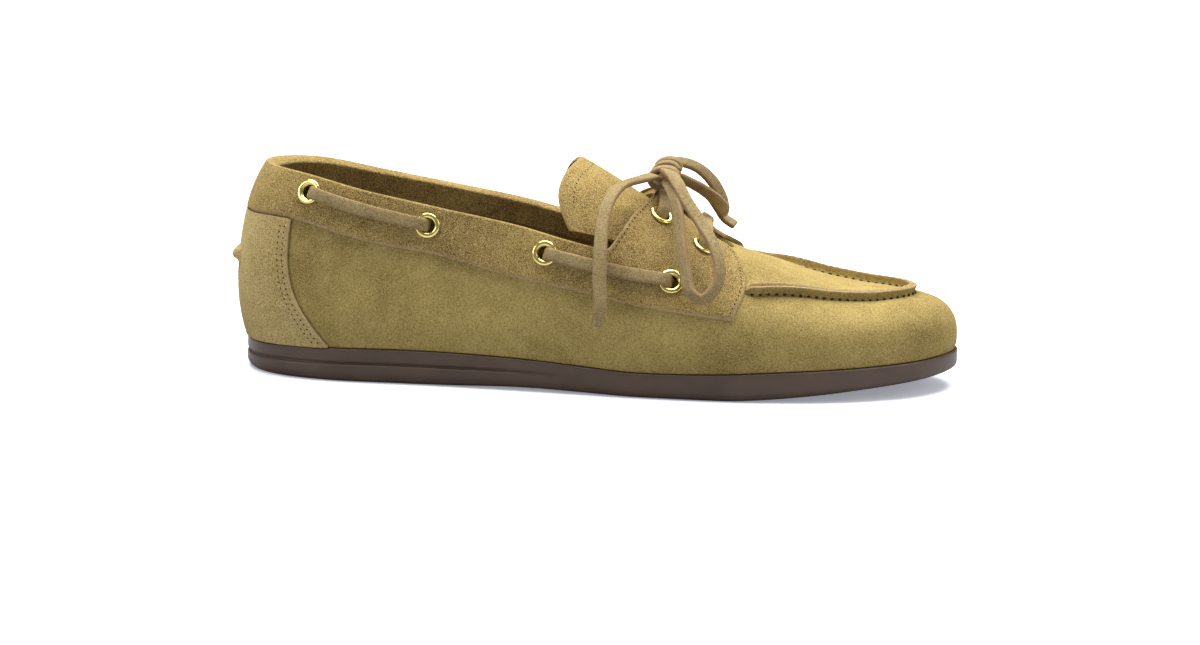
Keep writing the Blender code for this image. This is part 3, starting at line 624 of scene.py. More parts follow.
@dataclass(frozen=True)
class SuedeFinish:
    """Suede: four tones, the size of its blotches and grain, and how rough it stands."""

    name: str
    mid: tuple
    dark: tuple
    light: tuple
    raw: tuple
    blotch: float = 26.0
    grain: float = 1500.0
    speckle: float = 0.75
    bump: float = 0.55
    depth: float = 0.00035
    sheen: float = 0.25

    def make(self, nap: bpy.types.NodeTree) -> bpy.types.Material:
        """Build the material.

        Args:
            nap: The shared nap group.

        Returns:
            The material.
        """
        made, wiring, shader = new_material(self.name)
        links = {"Mid": self.mid, "Dark": self.dark, "Light": self.light, "Raw": self.raw,
                 "Blotch Scale": self.blotch, "Grain Scale": self.grain, "Speckle": self.speckle}
        group = wiring.node("ShaderNodeGroup", links, node_tree=nap)
        bump = wiring.node("ShaderNodeBump", {"Strength": self.bump, "Distance": self.depth,
                                              "Height": group.outputs["Height"]})
        wiring.plug(shader, {"Base Color": group.outputs["Color"], "Normal": bump.outputs["Normal"],
                             "Roughness": 0.95, "Specular IOR Level": 0.15, "Sheen Weight": self.sheen,
                             "Sheen Roughness": 0.45, "Sheen Tint": self.light})
        return made


@dataclass(frozen=True)
class PlainFinish:
    """An even material with faint mottling."""

    name: str
    tone: tuple
    second: tuple
    roughness: float
    metallic: float = 0.0
    scale: float = 300.0
    bump: float = 0.0
    depth: float = 0.0002
    gloss: float = 0.5

    def make(self) -> bpy.types.Material:
        """Build the material."""
        made, wiring, shader = new_material(self.name)
        where = wiring.node("ShaderNodeTexCoord").outputs["Object"]
        cloud = wiring.noise(where, self.scale, 3.0)
        shade = wiring.mix(wiring.stretch(cloud, 0.35, 0.65), self.tone, self.second)
        if self.bump:
            bump = wiring.node("ShaderNodeBump", {"Strength": self.bump, "Distance": self.depth, "Height": cloud})
            wiring.plug(shader, {"Normal": bump.outputs["Normal"]})
        wiring.plug(shader, {"Base Color": shade, "Roughness": self.roughness, "Metallic": self.metallic,
                             "Specular IOR Level": self.gloss})
        return made


def new_material(name: str) -> tuple[bpy.types.Material, Wiring, bpy.types.Node]:
    """A material with its wiring helper and its shader node."""
    made = bpy.data.materials.new(name)
    made.use_nodes = True
    return made, Wiring(made.node_tree), made.node_tree.nodes["Principled BSDF"]


@dataclass
class Finishes:
    """Every finish of the shoe."""

    nap: bpy.types.NodeTree = field(default_factory=nap_group)
    suede: bpy.types.Material = field(init=False)
    band: bpy.types.Material = field(init=False)
    counter: bpy.types.Material = field(init=False)
    lace: bpy.types.Material = field(init=False)
    insole: bpy.types.Material = field(init=False)
    rubber: bpy.types.Material = field(init=False)
    brass: bpy.types.Material = field(init=False)
    hole: bpy.types.Material = field(init=False)

    def __post_init__(self) -> None:
        """Build the materials."""
        raw = colour(176, 150, 112)
        self.suede = SuedeFinish("tan_suede", mid=colour(164, 143, 83), dark=colour(128, 108, 58),
                                 light=colour(206, 184, 118), raw=raw).make(self.nap)
        self.band = SuedeFinish("band_suede", mid=colour(149, 125, 71), dark=colour(108, 86, 44),
                                light=colour(208, 182, 118), raw=raw, speckle=1.0, bump=0.9).make(self.nap)
        # The counter is the upper's suede in lighter tones: painted light for the light that falls on the heel from
        # the left.
        self.counter = SuedeFinish("counter_suede", mid=colour(184, 161, 106), dark=colour(150, 128, 76),
                                   light=colour(218, 197, 138), raw=raw, speckle=0.9, bump=0.7).make(self.nap)
        self.lace = SuedeFinish("lace_suede", mid=colour(152, 132, 90), dark=colour(128, 108, 70),
                                light=colour(184, 166, 122), raw=colour(148, 116, 86), blotch=60.0,
                                grain=1600.0).make(self.nap)
        self.insole = PlainFinish("insole_leather", colour(74, 48, 30), colour(92, 62, 40), 0.55,
                                  bump=0.2).make()
        self.rubber = PlainFinish("brown_rubber", colour(87, 68, 52), colour(77, 59, 45), 0.36,
                                  scale=60.0).make()
        self.brass = PlainFinish("polished_brass", colour(255, 236, 148), colour(250, 226, 132), 0.18,
                                 metallic=1.0).make()
        # Dark brown of the stitch and ridge hole beads: painted shade of the holes.
        self.hole = PlainFinish("stitch_hole", colour(52, 36, 18), colour(40, 28, 14), 0.9).make()


def ring_turns(steps: int) -> Array:
    """Angles once round the outline, from the toe round the outer side, heel and inner side."""
    return np.linspace(-math.pi, math.pi, 2 * steps + 1)


# Section of the ridge from its outer foot to its inner one: place across and height, as shares
RIDGE_PROFILE = (
    (-1.00, 0.00), (-0.78, -0.02), (-0.58, 0.04), (-0.50, 0.30), (-0.60, 0.60), (-0.68, 0.84),
    (-0.58, 0.97), (-0.34, 0.98), (0.00, 0.74), (0.34, 0.98), (0.58, 0.97), (0.66, 0.84),
    (0.58, 0.60), (0.50, 0.30), (0.60, 0.04), (0.80, -0.02), (1.00, 0.00),
)


@dataclass
class Upper:
    """The hollow suede body with its raised apron seam."""

    last: Last
    wall: float = 1.8 * MM
    fold: float = 1.8 * MM
    ridge_height: float = 4.0 * MM
    tip_height: float = 3.0 * MM
    ridge_foot: float = 2.1 * MM
    ridge_lead: float = 0.9 * MM
    stitch_pitch: float = 3.05 * MM
    seam_least: float = 0.35
    seam_margin: float = 6 * MM
    hole_level: float = 0.2
    pucker_sink: float = 0.45 * MM
    pucker_width: float = 0.10
    pucker_height: float = 0.07
    swell: float = 0.35 * MM
    dent: float = 0.18 * MM
    steps: int = 220
    low_rows: int = 8
    side_rows: int = 18
    apron_rows: int = 26

    def seam_arcs(self, turn: Array) -> Array:
        """Length up the slice of the apron seam's middle, kept below the top edge."""
        last = self.last
        rim = last.read(last.rim, turn)
        girth = last.read(last.girths, turn)
        seam = last.read(last.seam, turn)
        return np.minimum(np.maximum(seam, girth + self.seam_least * (rim - girth)), rim - self.seam_margin)

    def ridge_share(self, turn: Array) -> Array:
        """How much of the ridge's height stands at each angle."""
        last = self.last
        start = last.apron_start * last.length - last.heel_centre
        return ease(last.at(turn, self.seam_arcs(turn))[..., 0], start, start + self.ridge_lead)

    def build(self) -> Thing:
        """Build the outer wall, inner wall and rims."""
        last = self.last
        turns = ring_turns(self.steps)
        rim = last.read(last.rim, turns)
        full = last.read(last.full, turns)
        closed = rim >= full - 1e-5
        edge = np.where(closed, full, rim - self.fold)
        girth = last.read(last.girths, turns)
        seam = self.seam_arcs(turns)
        ridge = self.ridge_share(turns)
        pinch = 0.5 + 0.5 * np.cos(2 * math.pi * lengths_along(last.at(turns, seam)) / self.stitch_pitch)
        reach = np.clip((last.at(turns, seam)[..., 0] / last.length + last.heel_centre / last.length
                         - last.apron_start) / (last.apron_tip - last.apron_start), 0.0, 1.0)
        tall = self.ridge_height + (self.tip_height - self.ridge_height) * reach
        flat = np.zeros_like(girth)
        foot, head = seam - self.ridge_foot, seam + self.ridge_foot
        columns = [(girth * t, flat) for t in np.linspace(0.0, 1.0, self.low_rows + 1)[:-1]]
        columns += [(girth + (foot - girth) * t, flat) for t in np.linspace(0.0, 1.0, self.side_rows + 1)[:-1]]
        for (across, height), even in zip(RIDGE_PROFILE, np.linspace(-1.0, 1.0, len(RIDGE_PROFILE))):
            narrow = 1 - self.pucker_width * pinch * ridge * (height > 0.3)
            width = self.ridge_foot * (even + (across - even) * ridge) * narrow
            lift = tall * height * (1 - self.pucker_height * pinch)
            if height < self.hole_level and abs(across) < 0.9:
                lift = lift - self.pucker_sink * pinch
            columns.append((seam + width, ridge * lift))
        columns += [(head + (edge - head) * t, flat) for t in np.linspace(0.0, 1.0, self.apron_rows + 1)[1:]]
        arcs = np.stack([arc for arc, _ in columns], axis=1)
        outs = np.stack([out for _, out in columns], axis=1)
        outs = outs + self._softness(turns, arcs, girth, edge)
        outer_points = last.at(turns[:, None], arcs, outs)
        inner_points = last.at(turns[:, None], arcs, -self.wall)
        shut = np.where(closed)[0]
        top = last.at(turns[shut], arcs[shut, -1])
        lift = np.array([0.0, 0.0, 1.0])
        outer_points[shut, -1] = top + lift * outs[shut, -1:]
        inner_points[shut, -1] = top - lift * self.wall
        maker = MeshMaker("upper_suede")
        cut = np.zeros(outer_points.shape[:2])
        for row, (_, height) in enumerate(RIDGE_PROFILE, start=self.low_rows + self.side_rows):
            cut[:, row] = ridge * ease(np.array(height), 0.80, 0.95)
        outer = maker.add(outer_points, cut)
        inner = maker.add(inner_points)
        maker.grid(outer)
        maker.grid(inner)
        for index in range(len(turns) - 1):
            maker.face((outer[index, 0], outer[index + 1, 0], inner[index + 1, 0], inner[index, 0]))
            if not (closed[index] and closed[index + 1]):
                maker.face((outer[index, -1], outer[index + 1, -1], inner[index + 1, -1], inner[index, -1]))
        return maker.build(weld=5e-6)

    def _softness(self, turns: Array, arcs: Array, girth: Array, edge: Array) -> Array:
        """Slow hollows and swells of the soft wall, none near its edges."""
        x = self.last.at(turns[:, None], arcs)[..., 0]
        share = arcs / edge[:, None]
        fade = ease(share, 0.05, 0.25) * (1 - ease(share, 0.55, 0.75))
        wave = self.swell * waver(x + 0.4 * arcs, period=0.11, seed=7)
        wave = wave + self.dent * waver(x - arcs, period=0.05, seed=11)
        return fade * wave


@dataclass
class CollarBand:
    """Overlay round the collar, folded over the top line, that widens into the facings."""

    last: Last
    band: float = 1.4 * MM
    wall: float = 1.8 * MM
    lining: float = 1.2 * MM
    lining_depth: float = 8.5 * MM
    skive: float = 1.05 * MM
    raw_width: float = 1.0 * MM
    fold_rise: float = 0.9 * MM
    fold_rows: int = 12
    lining_rows: int = 8
    rough: float = 0.16 * MM
    notch: float = 0.506
    collar_steps: int = 150
    facing_steps: int = 84
    front_levels: tuple = (0.0, 0.35, 0.55, 0.80, 0.92, 1.0)
    front_places: tuple = (0.6853, 0.7029, 0.7013, 0.6930, 0.6840, 0.6730)

    def levels(self) -> Array:
        """Shares of the way up the band of its rows, close together at the edges."""
        middle = np.linspace(0.06, 0.94, 24)
        return np.concatenate([[0.0, 0.010, 0.025, 0.042], middle, [0.958, 0.975, 0.990, 1.0]])

    def front(self, level: Array) -> Array:
        """Place along the shoe of the facing's front edge."""
        return read_curve(self.front_levels, self.front_places, level)

    def spots(self, side: Side) -> tuple[Array, Array]:
        """Angles and lengths of the facing's grid, from the notch to the front edge."""
        last = self.last
        levels = self.levels()
        ahead = np.concatenate([np.linspace(0.0, 0.96, self.facing_steps - 4), [0.972, 0.984, 0.994, 1.0]])
        along = self.notch + (self.front(levels)[None, :] - self.notch) * ahead[:, None]
        turn = side.value * last.turn_of(along)
        return turn, self.lengths(turn, levels[None, :])

    def lengths(self, turn: Array, level: Array) -> Array:
        """Lengths up the slices at shares of the way up the band."""
        last = self.last
        low = last.read(last.low, turn)
        rough = self.rough * waver(turn, period=0.06, seed=3) * (1 - ease(level, 0.0, 0.1))
        return low + (last.read(last.top, turn) - last.clear - low) * level + rough

    def build(self) -> Thing:
        """Build the folded collar and both facings as one piece."""
        last = self.last
        levels = self.levels()
        reach = float(last.turn_of(self.notch))
        turns = np.linspace(-reach, reach, 2 * self.collar_steps + 1)
        arcs = self.lengths(turns[:, None], levels[None, :])
        face = last.clear + self.band
        distance = np.minimum(arcs - arcs[:, :1], 1.0)
        outer_out = face - self.skive * (1 - ease(distance, 0.0, self.raw_width))
        maker = MeshMaker("collar_band_suede")
        raw = 1 - ease(distance, 0.6 * self.raw_width, 1.3 * self.raw_width)
        outer = maker.add(last.at(turns[:, None], arcs, outer_out), raw)
        inner = maker.add(last.at(turns[:, None], arcs, last.clear), (levels < 0.005)[None, :] * 1.0)
        fold = maker.add(self._over_rows(turns, arcs[:, -1]))
        maker.grid(np.concatenate([outer, fold, inner[:, ::-1]], axis=1), wrap=True)
        for side in Side:
            self._facing(maker, side, outer, inner, fold)
        return maker.build(sharp=60.0)

    def _over_rows(self, turns: Array, top: Array) -> Array:
        """Rows over the fold, down the lining and back up behind it."""
        last = self.last
        face = last.clear + self.band
        back = -(self.wall + last.clear)
        deep = back - self.lining
        centre = (face + deep) / 2
        half = (face - deep) / 2
        rows = [(top + self.fold_rise * math.sin(angle) ** 0.8, centre + half * math.cos(angle))
                for angle in np.linspace(0.0, math.pi, self.fold_rows + 1)[1:-1]]
        droop = top - self.lining_depth + 0.2 * MM * waver(turns, period=0.2, seed=5)
        rows += [(top + (droop - top) * share, deep) for share in np.linspace(0.0, 1.0, self.lining_rows + 1)]
        rows += [(droop - 0.3 * MM, deep + 0.5 * self.lining), (droop, deep + self.lining),
                 (top - 2.2 * MM, back), (top - 1.5 * MM, -0.2 * MM)]
        arcs = np.stack([arc for arc, _ in rows], axis=1)
        outs = np.array([out for _, out in rows])
        return last.at(turns[:, None], arcs, outs[None, :])

    def _facing(self, maker: MeshMaker, side: Side, outer: Array, inner: Array, fold: Array) -> None:
        """Add one facing, joined to the collar's end section at the notch."""
        last = self.last
        turn, arcs = self.spots(side)
        end = 0 if side is Side.LATERAL else -1
        ahead = last.place(last.at(turn, arcs)[..., 0])
        low_gap = arcs - arcs[:, :1]
        top_gap = arcs[:, -1:] - arcs
        front_gap = (self.front(self.levels())[None, :] - ahead) * last.length
        gap = np.minimum(np.minimum(low_gap, top_gap), np.maximum(front_gap, 0.0))
        gap = np.where(gap < 1e-6, 0.0, gap)
        blend = ease(np.linspace(0.0, 1.0, len(turn)), 0.0, 0.06)[:, None]
        gap = np.where(top_gap < low_gap, gap + (1 - blend) * MM, gap)
        out = last.clear + self.band - self.skive * (1 - ease(gap, 0.0, self.raw_width))
        raw = 1 - ease(gap, 0.6 * self.raw_width, 1.3 * self.raw_width)
        face = maker.add(last.at(turn[1:], arcs[1:], out[1:]), raw[1:])
        back = maker.add(last.at(turn[1:], arcs[1:], last.clear), (raw[1:] > 0.99) * 1.0)
        face = np.concatenate([outer[end][None, :], face], axis=0)
        back = np.concatenate([inner[end][None, :], back], axis=0)
        maker.grid(np.concatenate([face, back[:, ::-1]], axis=1), wrap=True)
        maker.face(np.concatenate([face[-1], back[-1][::-1]]))
        maker.face([outer[end, -1], *fold[end], inner[end, -1]])


@dataclass
class HeelCounter:
    """Patch round the back of the heel with a pinched cross seam."""

    last: Last
    thickness: float = 1.2 * MM
    skive: float = 0.45 * MM
    steps: int = 60
    curve: float = 62 * MM
    edge_levels: tuple = (0.00, 0.25, 0.45, 0.62, 0.80, 1.00)
    edge_places: tuple = (0.128, 0.101, 0.083, 0.075, 0.071, 0.069)
    pinch_height: float = 16.5 * MM
    pinch_half: float = 9.5 * MM
    pinch_stand: float = 2.1 * MM
    pinch_reach: float = 2.0 * MM
    pucker: float = 0.16
    pucker_pitch: float = 2.3 * MM
    foot: float = 0.4 * MM

    def edge_turn(self, level: Array) -> Array:
        """Angle of the front edge at a share of the patch's height."""
        return self.last.turn_of(read_curve(self.edge_levels, self.edge_places, level))

    def arc(self, turn: Array, level: Array) -> Array:
        """Length up the slice at a share of the patch's height."""
        top = self.last.read(self.last.low, turn) - 0.2 * MM
        return self.foot + (top - self.foot) * level

    def build(self) -> Thing:
        """Build the patch."""
        last = self.last
        levels = np.linspace(0.0, 1.0, 56)
        share = np.concatenate([np.linspace(-1.0, -0.965, 5), np.linspace(-0.94, 0.94, 2 * self.steps + 1),
                                np.linspace(0.965, 1.0, 5)])
        turn = self.edge_turn(levels)[None, :] * share[:, None]
        turn = turn + np.sign(share)[:, None] * 0.0012 * waver(levels * 40, period=14.0, seed=9)[None, :]
        arcs = self.arc(turn, levels[None, :])
        gap = (1 - np.abs(share))[:, None] * self.edge_turn(levels)[None, :] * self.curve
        out = last.clear + self.thickness - self.skive * (1 - ease(gap, 0.0, 0.8 * MM)) + self._pinch(turn, arcs)
        maker = MeshMaker("heel_counter_suede")
        raw = np.exp(-gap / (0.3 * MM)) + 0 * arcs
        outer = maker.add(last.at(turn, arcs, out), raw)
        inner = maker.add(last.at(turn, arcs, last.clear), (raw > 0.99) * 1.0)
        maker.shell(outer, inner)
        return maker.build(sharp=60.0)

    def _pinch(self, turn: Array, arcs: Array) -> Array:
        """Height of the pinched cross seam, with its puckers."""
        last = self.last
        centre = last.read(last.low, 0.0) - self.pinch_height
        across = last.at(turn, arcs)[..., 1]
        up = arcs - centre + 0.5 * MM * np.cos(across / (3.2 * MM))
        side = 1 - ease(np.abs(across), 0.72 * self.pinch_half, self.pinch_half * 1.1)
        wrinkle = 1 + self.pucker * np.sin(across * 2 * math.pi / self.pucker_pitch)
        return self.pinch_stand * side * wrinkle * np.exp(-((up / self.pinch_reach) ** 4))


@dataclass
class Tongue:
    """Wide arched tongue inside the collar and under the facings."""

    last: Last
    thickness: float = 2.4 * MM
    inset: float = 3.9 * MM
    rear: float = 0.4750
    sweep: float = 0.0300
    front: float = 0.7200
    half_rear: float = 44.0 * MM
    half_front: float = 27.0 * MM
    run: float = 62 * MM

    def spot(self, ahead: Array, across: Array) -> tuple[Array, Array]:
        """Place on the last above a spot of the tongue.

        Args:
            ahead: Share of the way from the rear edge to the front edge.
            across: Share of the way from the crest to the side edge, negative on the outer side.

        Returns:
            Angles round the outline and lengths up the slices.
        """
        last = self.last
        bend = np.minimum(np.abs(across) * 1.35, 1.0)
        rear = self.rear - self.sweep * np.sin(bend * math.pi / 2) ** 2
        rear = rear + 0.5 * self.sweep * np.maximum(0.0, (np.abs(across) - 0.7) / 0.3) ** 2
        along = rear + (self.front - rear) * ahead
        turn = np.where(across < 0, -1.0, 1.0) * last.turn_of(along)
        half = self.half_rear + (self.half_front - self.half_rear) * ahead
        return turn, last.read(last.full, turn) - half * np.abs(across)

    def build(self) -> Thing:
        """Build the tongue with its rounded raw rear edge."""
        ahead = np.concatenate([[0.0, 0.004, 0.010, 0.018], np.linspace(0.03, 1.0, 60)])
        across = np.linspace(-1.0, 1.0, 81)
        turn, arcs = self.spot(ahead[:, None], across[None, :])
        gap = ahead[:, None] * self.run + 0 * turn
        ease_in = 0.5 * MM * (1 - ease(gap, 0.0, 0.9 * MM))
        maker = MeshMaker("tongue_suede")
        raw = np.exp(-gap / (0.3 * MM))
        outer = maker.add(self.last.at(turn, arcs, -self.inset - ease_in), raw)
        inner = maker.add(self.last.at(turn, arcs, -self.inset - self.thickness + ease_in), raw)
        maker.shell(outer, inner)
        return maker.build(sharp=60.0)


# Section of the sole's groove: place up it in half widths, and depth as a share
GROOVE_PROFILE = ((-1.6, 0.0), (-1.0, 0.10), (-0.6, 0.55), (-0.2, 0.95), (0.2, 0.95), (0.6, 0.55), (1.0, 0.10),
                  (1.6, 0.0))


@dataclass
class Outsole:
    """Thin rubber sole with a groove round the heel and a rounded lower edge."""

    last: Last
    margin: float = 1.0 * MM
    rounding: float = 3.2 * MM
    groove_depth: float = 0.9 * MM
    groove_half: float = 0.7 * MM
    groove_level: float = 0.56
    round_share: float = 0.30
    lip: float = 0.6 * MM
    steps: int = 260

    def ring(self, out: Array | float, height: Array) -> Array:
        """Points beside the foot of each slice, moved out in plan, at a height."""
        turns = ring_turns(self.steps)
        point = self.last.at(turns, 0.0)
        normal = self.last.normal(turns, 0.0)
        moved = point[:, :2] + unit(normal[:, :2]) * (np.zeros(len(turns)) + out)[:, None]
        return np.concatenate([moved, height[:, None]], axis=1)

    def heights(self) -> tuple[Array, Array, Array]:
        """Bottom, top and groove share of the sole at each station."""
        along = 0.5 - 0.5 * np.cos(ring_turns(self.steps))
        bottom = self.last.sole_rise * column(SOLE_ROWS, "bottom", along)
        return bottom, self.last.sole_top(along), np.clip(column(SOLE_ROWS, "groove", along), 0.0, 1.0)

    def build(self) -> Thing:
        """Build the sole's side as rings, then close its underside and top."""
        bottom, top, groove = self.heights()
        tall = top - bottom
        rings = []
        for angle in np.linspace(0.0, math.pi / 2, 9):
            out = self.margin - self.rounding * (1 - math.sin(angle)) * 0.9
            rings.append(self.ring(out, bottom + self.round_share * tall * (1 - math.cos(angle))))
        middle = bottom + self.groove_level * tall
        for offset, share in GROOVE_PROFILE:
            out = self.margin - self.groove_depth * groove * share
            rings.append(self.ring(out, middle + offset * self.groove_half))
        for angle in np.linspace(0.0, math.pi / 2, 6):
            out = self.margin - self.lip * (1 - math.cos(angle))
            rings.append(self.ring(out, top - self.lip * (1 - math.sin(angle))))
        maker = MeshMaker("outsole_rubber")
        maker.stack(maker.add(np.stack(rings)))
        return maker.build(sharp=55.0, weld=2e-6)


@dataclass
class Insole:
    """Leather footbed."""

    last: Last
    thickness: float = 2.4 * MM
    inset: float = 2.4 * MM
    steps: int = 120

    def build(self) -> Thing:
        """Build the footbed as a plate with a softly raised rim."""
        sole = Outsole(self.last, steps=self.steps)
        seat = sole.heights()[1] + self.last.clear
        rows = ((-self.inset, 0.0), (-self.inset, 0.9), (-self.inset - 0.5 * MM, 1.0), (-self.inset - 5 * MM, 0.92))
        maker = MeshMaker("insole_leather")
        maker.stack(maker.add(np.stack([sole.ring(out, seat + share * self.thickness) for out, share in rows])))
        return maker.build(sharp=55.0, weld=2e-6)


class EyeletSpot(NamedTuple):
    """An eyelet of each side: place along the shoe and share of the way up the band."""

    name: str
    along: float
    level: float


EYELET_SPOTS = (
    EyeletSpot("1", 0.088, 0.65),
    EyeletSpot("2", 0.267, 0.59),
    EyeletSpot("3", 0.429, 0.62),
    EyeletSpot("4", 0.600, 0.21),
    EyeletSpot("top", 0.581, 0.73),
    EyeletSpot("front", 0.641, 0.66),
)


@dataclass
class Eyelets:
    """Rolled brass eyelets and the holes that they line."""

    last: Last
    hole: float = 2.6 * MM
    rim: float = 4.35 * MM
    band: float = 1.4 * MM
    roll: float = 0.85 * MM
    stand: float = 0.25 * MM
    drill_depth: float = 9 * MM
    drill_lift: float = 2.6 * MM
    drill_gap: float = 0.25 * MM
    barrel_depth: float = 3.2 * MM
    barrel_sink: float = 1.5 * MM
    barrel_gap: float = 0.18 * MM
    barrel_wall: float = 0.25 * MM

    def spot(self, side: Side, row: EyeletSpot) -> tuple[Array, Array]:
        """Point on the last below an eyelet's middle, and the normal there."""
        last = self.last
        turn = side.value * float(last.turn_of(row.along))
        low = last.read(last.low, turn)
        arc = low + (last.read(last.top, turn) - low) * row.level
        return last.at(turn, arc), last.normal(turn, arc)

    def spots(self) -> Iterable[tuple[str, Array, Array]]:
        """Name, point and normal of every eyelet."""
        for side in Side:
            for row in EYELET_SPOTS:
                yield f"{side.name.lower()}_{row.name}", *self.spot(side, row)

    def cutters(self) -> Thing:
        """One mesh of all the drills."""
        made = []
        for _, point, normal in self.spots():
            deselect_all()
            bpy.ops.mesh.primitive_cylinder_add(vertices=28, radius=self.hole + self.drill_gap, depth=self.drill_depth)
            made.append(bpy.context.active_object)
            stand_on(made[-1], point + self.drill_lift * normal, normal)
        return join(made, "drills")

    def build(self) -> list[Thing]:
        """Build the twelve eyelets."""
        return [self._one(f"eyelet_brass_{name}", point, normal) for name, point, normal in self.spots()]

    def _one(self, name: str, point: Array, normal: Array) -> Thing:
        """One eyelet: a flattened rolled rim on a barrel."""
        face = self.last.clear + self.band + self.stand
        deselect_all()
        bpy.ops.mesh.primitive_torus_add(major_segments=48, minor_segments=14, major_radius=(self.hole + self.rim) / 2,
                                         minor_radius=(self.rim - self.hole) / 2)
        rim = bpy.context.active_object
        rim.scale = (1.0, 1.0, self.roll / (self.rim - self.hole) * 1.15)
        rim.location = (0.0, 0.0, face + 0.4 * self.roll)
        settle(rim)
        deselect_all()
        bpy.ops.mesh.primitive_cylinder_add(vertices=48, radius=self.hole + self.barrel_gap, depth=self.barrel_depth,
                                            end_fill_type="NOTHING")
        barrel = bpy.context.active_object
        barrel.location = (0.0, 0.0, face - self.barrel_sink)
        settle(barrel)
        wall = barrel.modifiers.new("wall", "SOLIDIFY")
        wall.thickness = self.barrel_wall
        apply_modifiers(barrel)
        eyelet = join([rim, barrel], name)
        for polygon in eyelet.data.polygons:
            polygon.use_smooth = True
        stand_on(eyelet, point, normal)
        return eyelet


def apply_modifiers(thing: Thing) -> None:
    """Apply every modifier of an object."""
    deselect_all()
    thing.select_set(True)
    bpy.context.view_layer.objects.active = thing
    for modifier in list(thing.modifiers):
        bpy.ops.object.modifier_apply(modifier=modifier.name)


def join(things: Sequence[Thing], name: str) -> Thing:
    """Join mesh objects into one named object."""
    deselect_all()
    for thing in things:
        thing.select_set(True)
    bpy.context.view_layer.objects.active = things[0]
    bpy.ops.object.join()
    joined = bpy.context.active_object
    joined.name = name
    joined.data.name = name
    return joined


def stand_on(thing: Thing, point: Array, normal: Array) -> None:
    """Put a piece modelled along +Z on a point, with +Z along the normal."""
    turn = Vector((0.0, 0.0, 1.0)).rotation_difference(Vector(normal.tolist()))
    thing.data.transform(Matrix.Translation(Vector(point.tolist())) @ turn.to_matrix().to_4x4())


def drill(thing: Thing, cutter: Thing) -> None:
    """Cut the drills out of a piece."""
    cut = thing.modifiers.new("eyelet_holes", "BOOLEAN")
    cut.operation = "DIFFERENCE"
    cut.solver = "EXACT"
    cut.object = cutter
    apply_modifiers(thing)
    thing.data.set_sharp_from_angle(angle=math.radians(60.0))


@dataclass
class Beads:
    """Rows of one small mark, such as a stitch hole, as one mesh."""

    name: str
    length: float
    width: float
    height: float
    sink: float = 0.0
    tilt: float = 0.0
    template: tuple = field(init=False)

    def __post_init__(self) -> None:
        """Make the one mark that is repeated."""
        deselect_all()
        bpy.ops.mesh.primitive_uv_sphere_add(segments=8, ring_count=5, radius=0.5)
        ball = bpy.context.active_object
        points = np.array([v.co[:] for v in ball.data.vertices])
        faces = [tuple(f.vertices) for f in ball.data.polygons]
        bpy.data.objects.remove(ball)
        self.template = (points * (self.length, self.width, self.height), faces)
        self.rows: list[tuple[Array, Array, Array]] = []

    def add(self, points: Array, normals: Array, pitch: float, start: float = 0.0) -> None:
        """Add marks along a line.

        Args:
            points: The line.
            normals: Outward normals at its points.
            pitch: Distance between marks.
            start: Length before the first mark.
        """
        arc = lengths_along(points)
        at = np.arange(start, arc[-1], pitch)

        def between(rows: Array, where: Array) -> Array:
            """Rows read at lengths along the line."""
            return np.stack([np.interp(where, arc, rows[:, i]) for i in range(3)], axis=1)

        spot = between(points, at)
        out = unit(between(normals, at))
        run = between(points, at + 0.1 * MM) - between(points, at - 0.1 * MM)
        run = unit(run - out * np.sum(run * out, axis=1, keepdims=True))
        side = np.cross(out, run)
        turned = run * math.cos(self.tilt) + side * math.sin(self.tilt)
        self.rows.append((spot - out * self.sink, turned, out))

    def build(self) -> Thing:
        """Build all the marks as one mesh."""
        maker = MeshMaker(self.name)
        shape, faces = self.template
        for spots, runs, outs in self.rows:
            for spot, run, out in zip(spots, runs, outs):
                side = np.cross(out, run)
                turned = shape[:, :1] * run + shape[:, 1:2] * side + shape[:, 2:] * out
                index = maker.add(spot + turned)
                for face in faces:
                    maker.face(index[list(face)])
        return maker.build(sharp=180.0, weld=1e-8)


@dataclass
class Strap:
    """A flat suede lace swept along a route."""

    width: float = 4.6 * MM
    thickness: float = 2.0 * MM
    sides: int = 16
    squareness: float = 0.55
    end_share: float = 0.86
    end_round: float = 0.35 * MM

    def build(self, name: str, route: Array, faces: Array, steps: int) -> tuple[Thing, Array]:
        """Build one lace.

        Args:
            name: Name of the piece.
            route: Points of the route.
            faces: Directions that the broad face looks in at those points.
            steps: Sections along the lace.

        Returns:
            The object and the path that it follows.
        """
        path = smooth_line(route, steps)
        look = smooth_line(faces, steps)
        run = unit(np.gradient(path, axis=0))
        look = unit(look - run * np.sum(look * run, axis=1, keepdims=True))
        side = np.cross(run, look)
        swell = 1 + 0.05 * waver(lengths_along(path), period=0.03, seed=len(name))
        angle = np.linspace(0.0, 2 * math.pi, self.sides, endpoint=False) + math.pi / self.sides
        across = np.sign(np.cos(angle)) * np.abs(np.cos(angle)) ** self.squareness
        up = np.sign(np.sin(angle)) * np.abs(np.sin(angle)) ** self.squareness
        section = (side[:, None, :] * (0.5 * self.width * swell[:, None] * across[None, :])[..., None]
                   + look[:, None, :] * (0.5 * self.thickness * up)[None, :, None])
        raw = np.broadcast_to(ease(np.abs(across), 0.86, 1.0), section.shape[:2])
        maker = MeshMaker(name)
        body = maker.add(path[:, None, :] + section, raw)
        maker.grid(body, wrap=True)
        for end, way in ((0, -1.0), (-1, 1.0)):
            inset = maker.add(path[end] + section[end] * self.end_share + run[end] * way * self.end_round, 0.8)
            maker.grid(np.stack([body[end], inset]), wrap=True)
            maker.face(inset)
        return maker.build(sharp=70.0), path


class CordRoute(NamedTuple):
    """A free stretch of lace: its route and the way its broad face looks at each point."""

    node: str
    points: tuple
    faces: tuple
    far_end: str


OUT = (-0.25, -0.85, 0.45)
UPWARD = (0.15, -0.35, 0.92)
FRONT = (0.35, -0.55, 0.75)

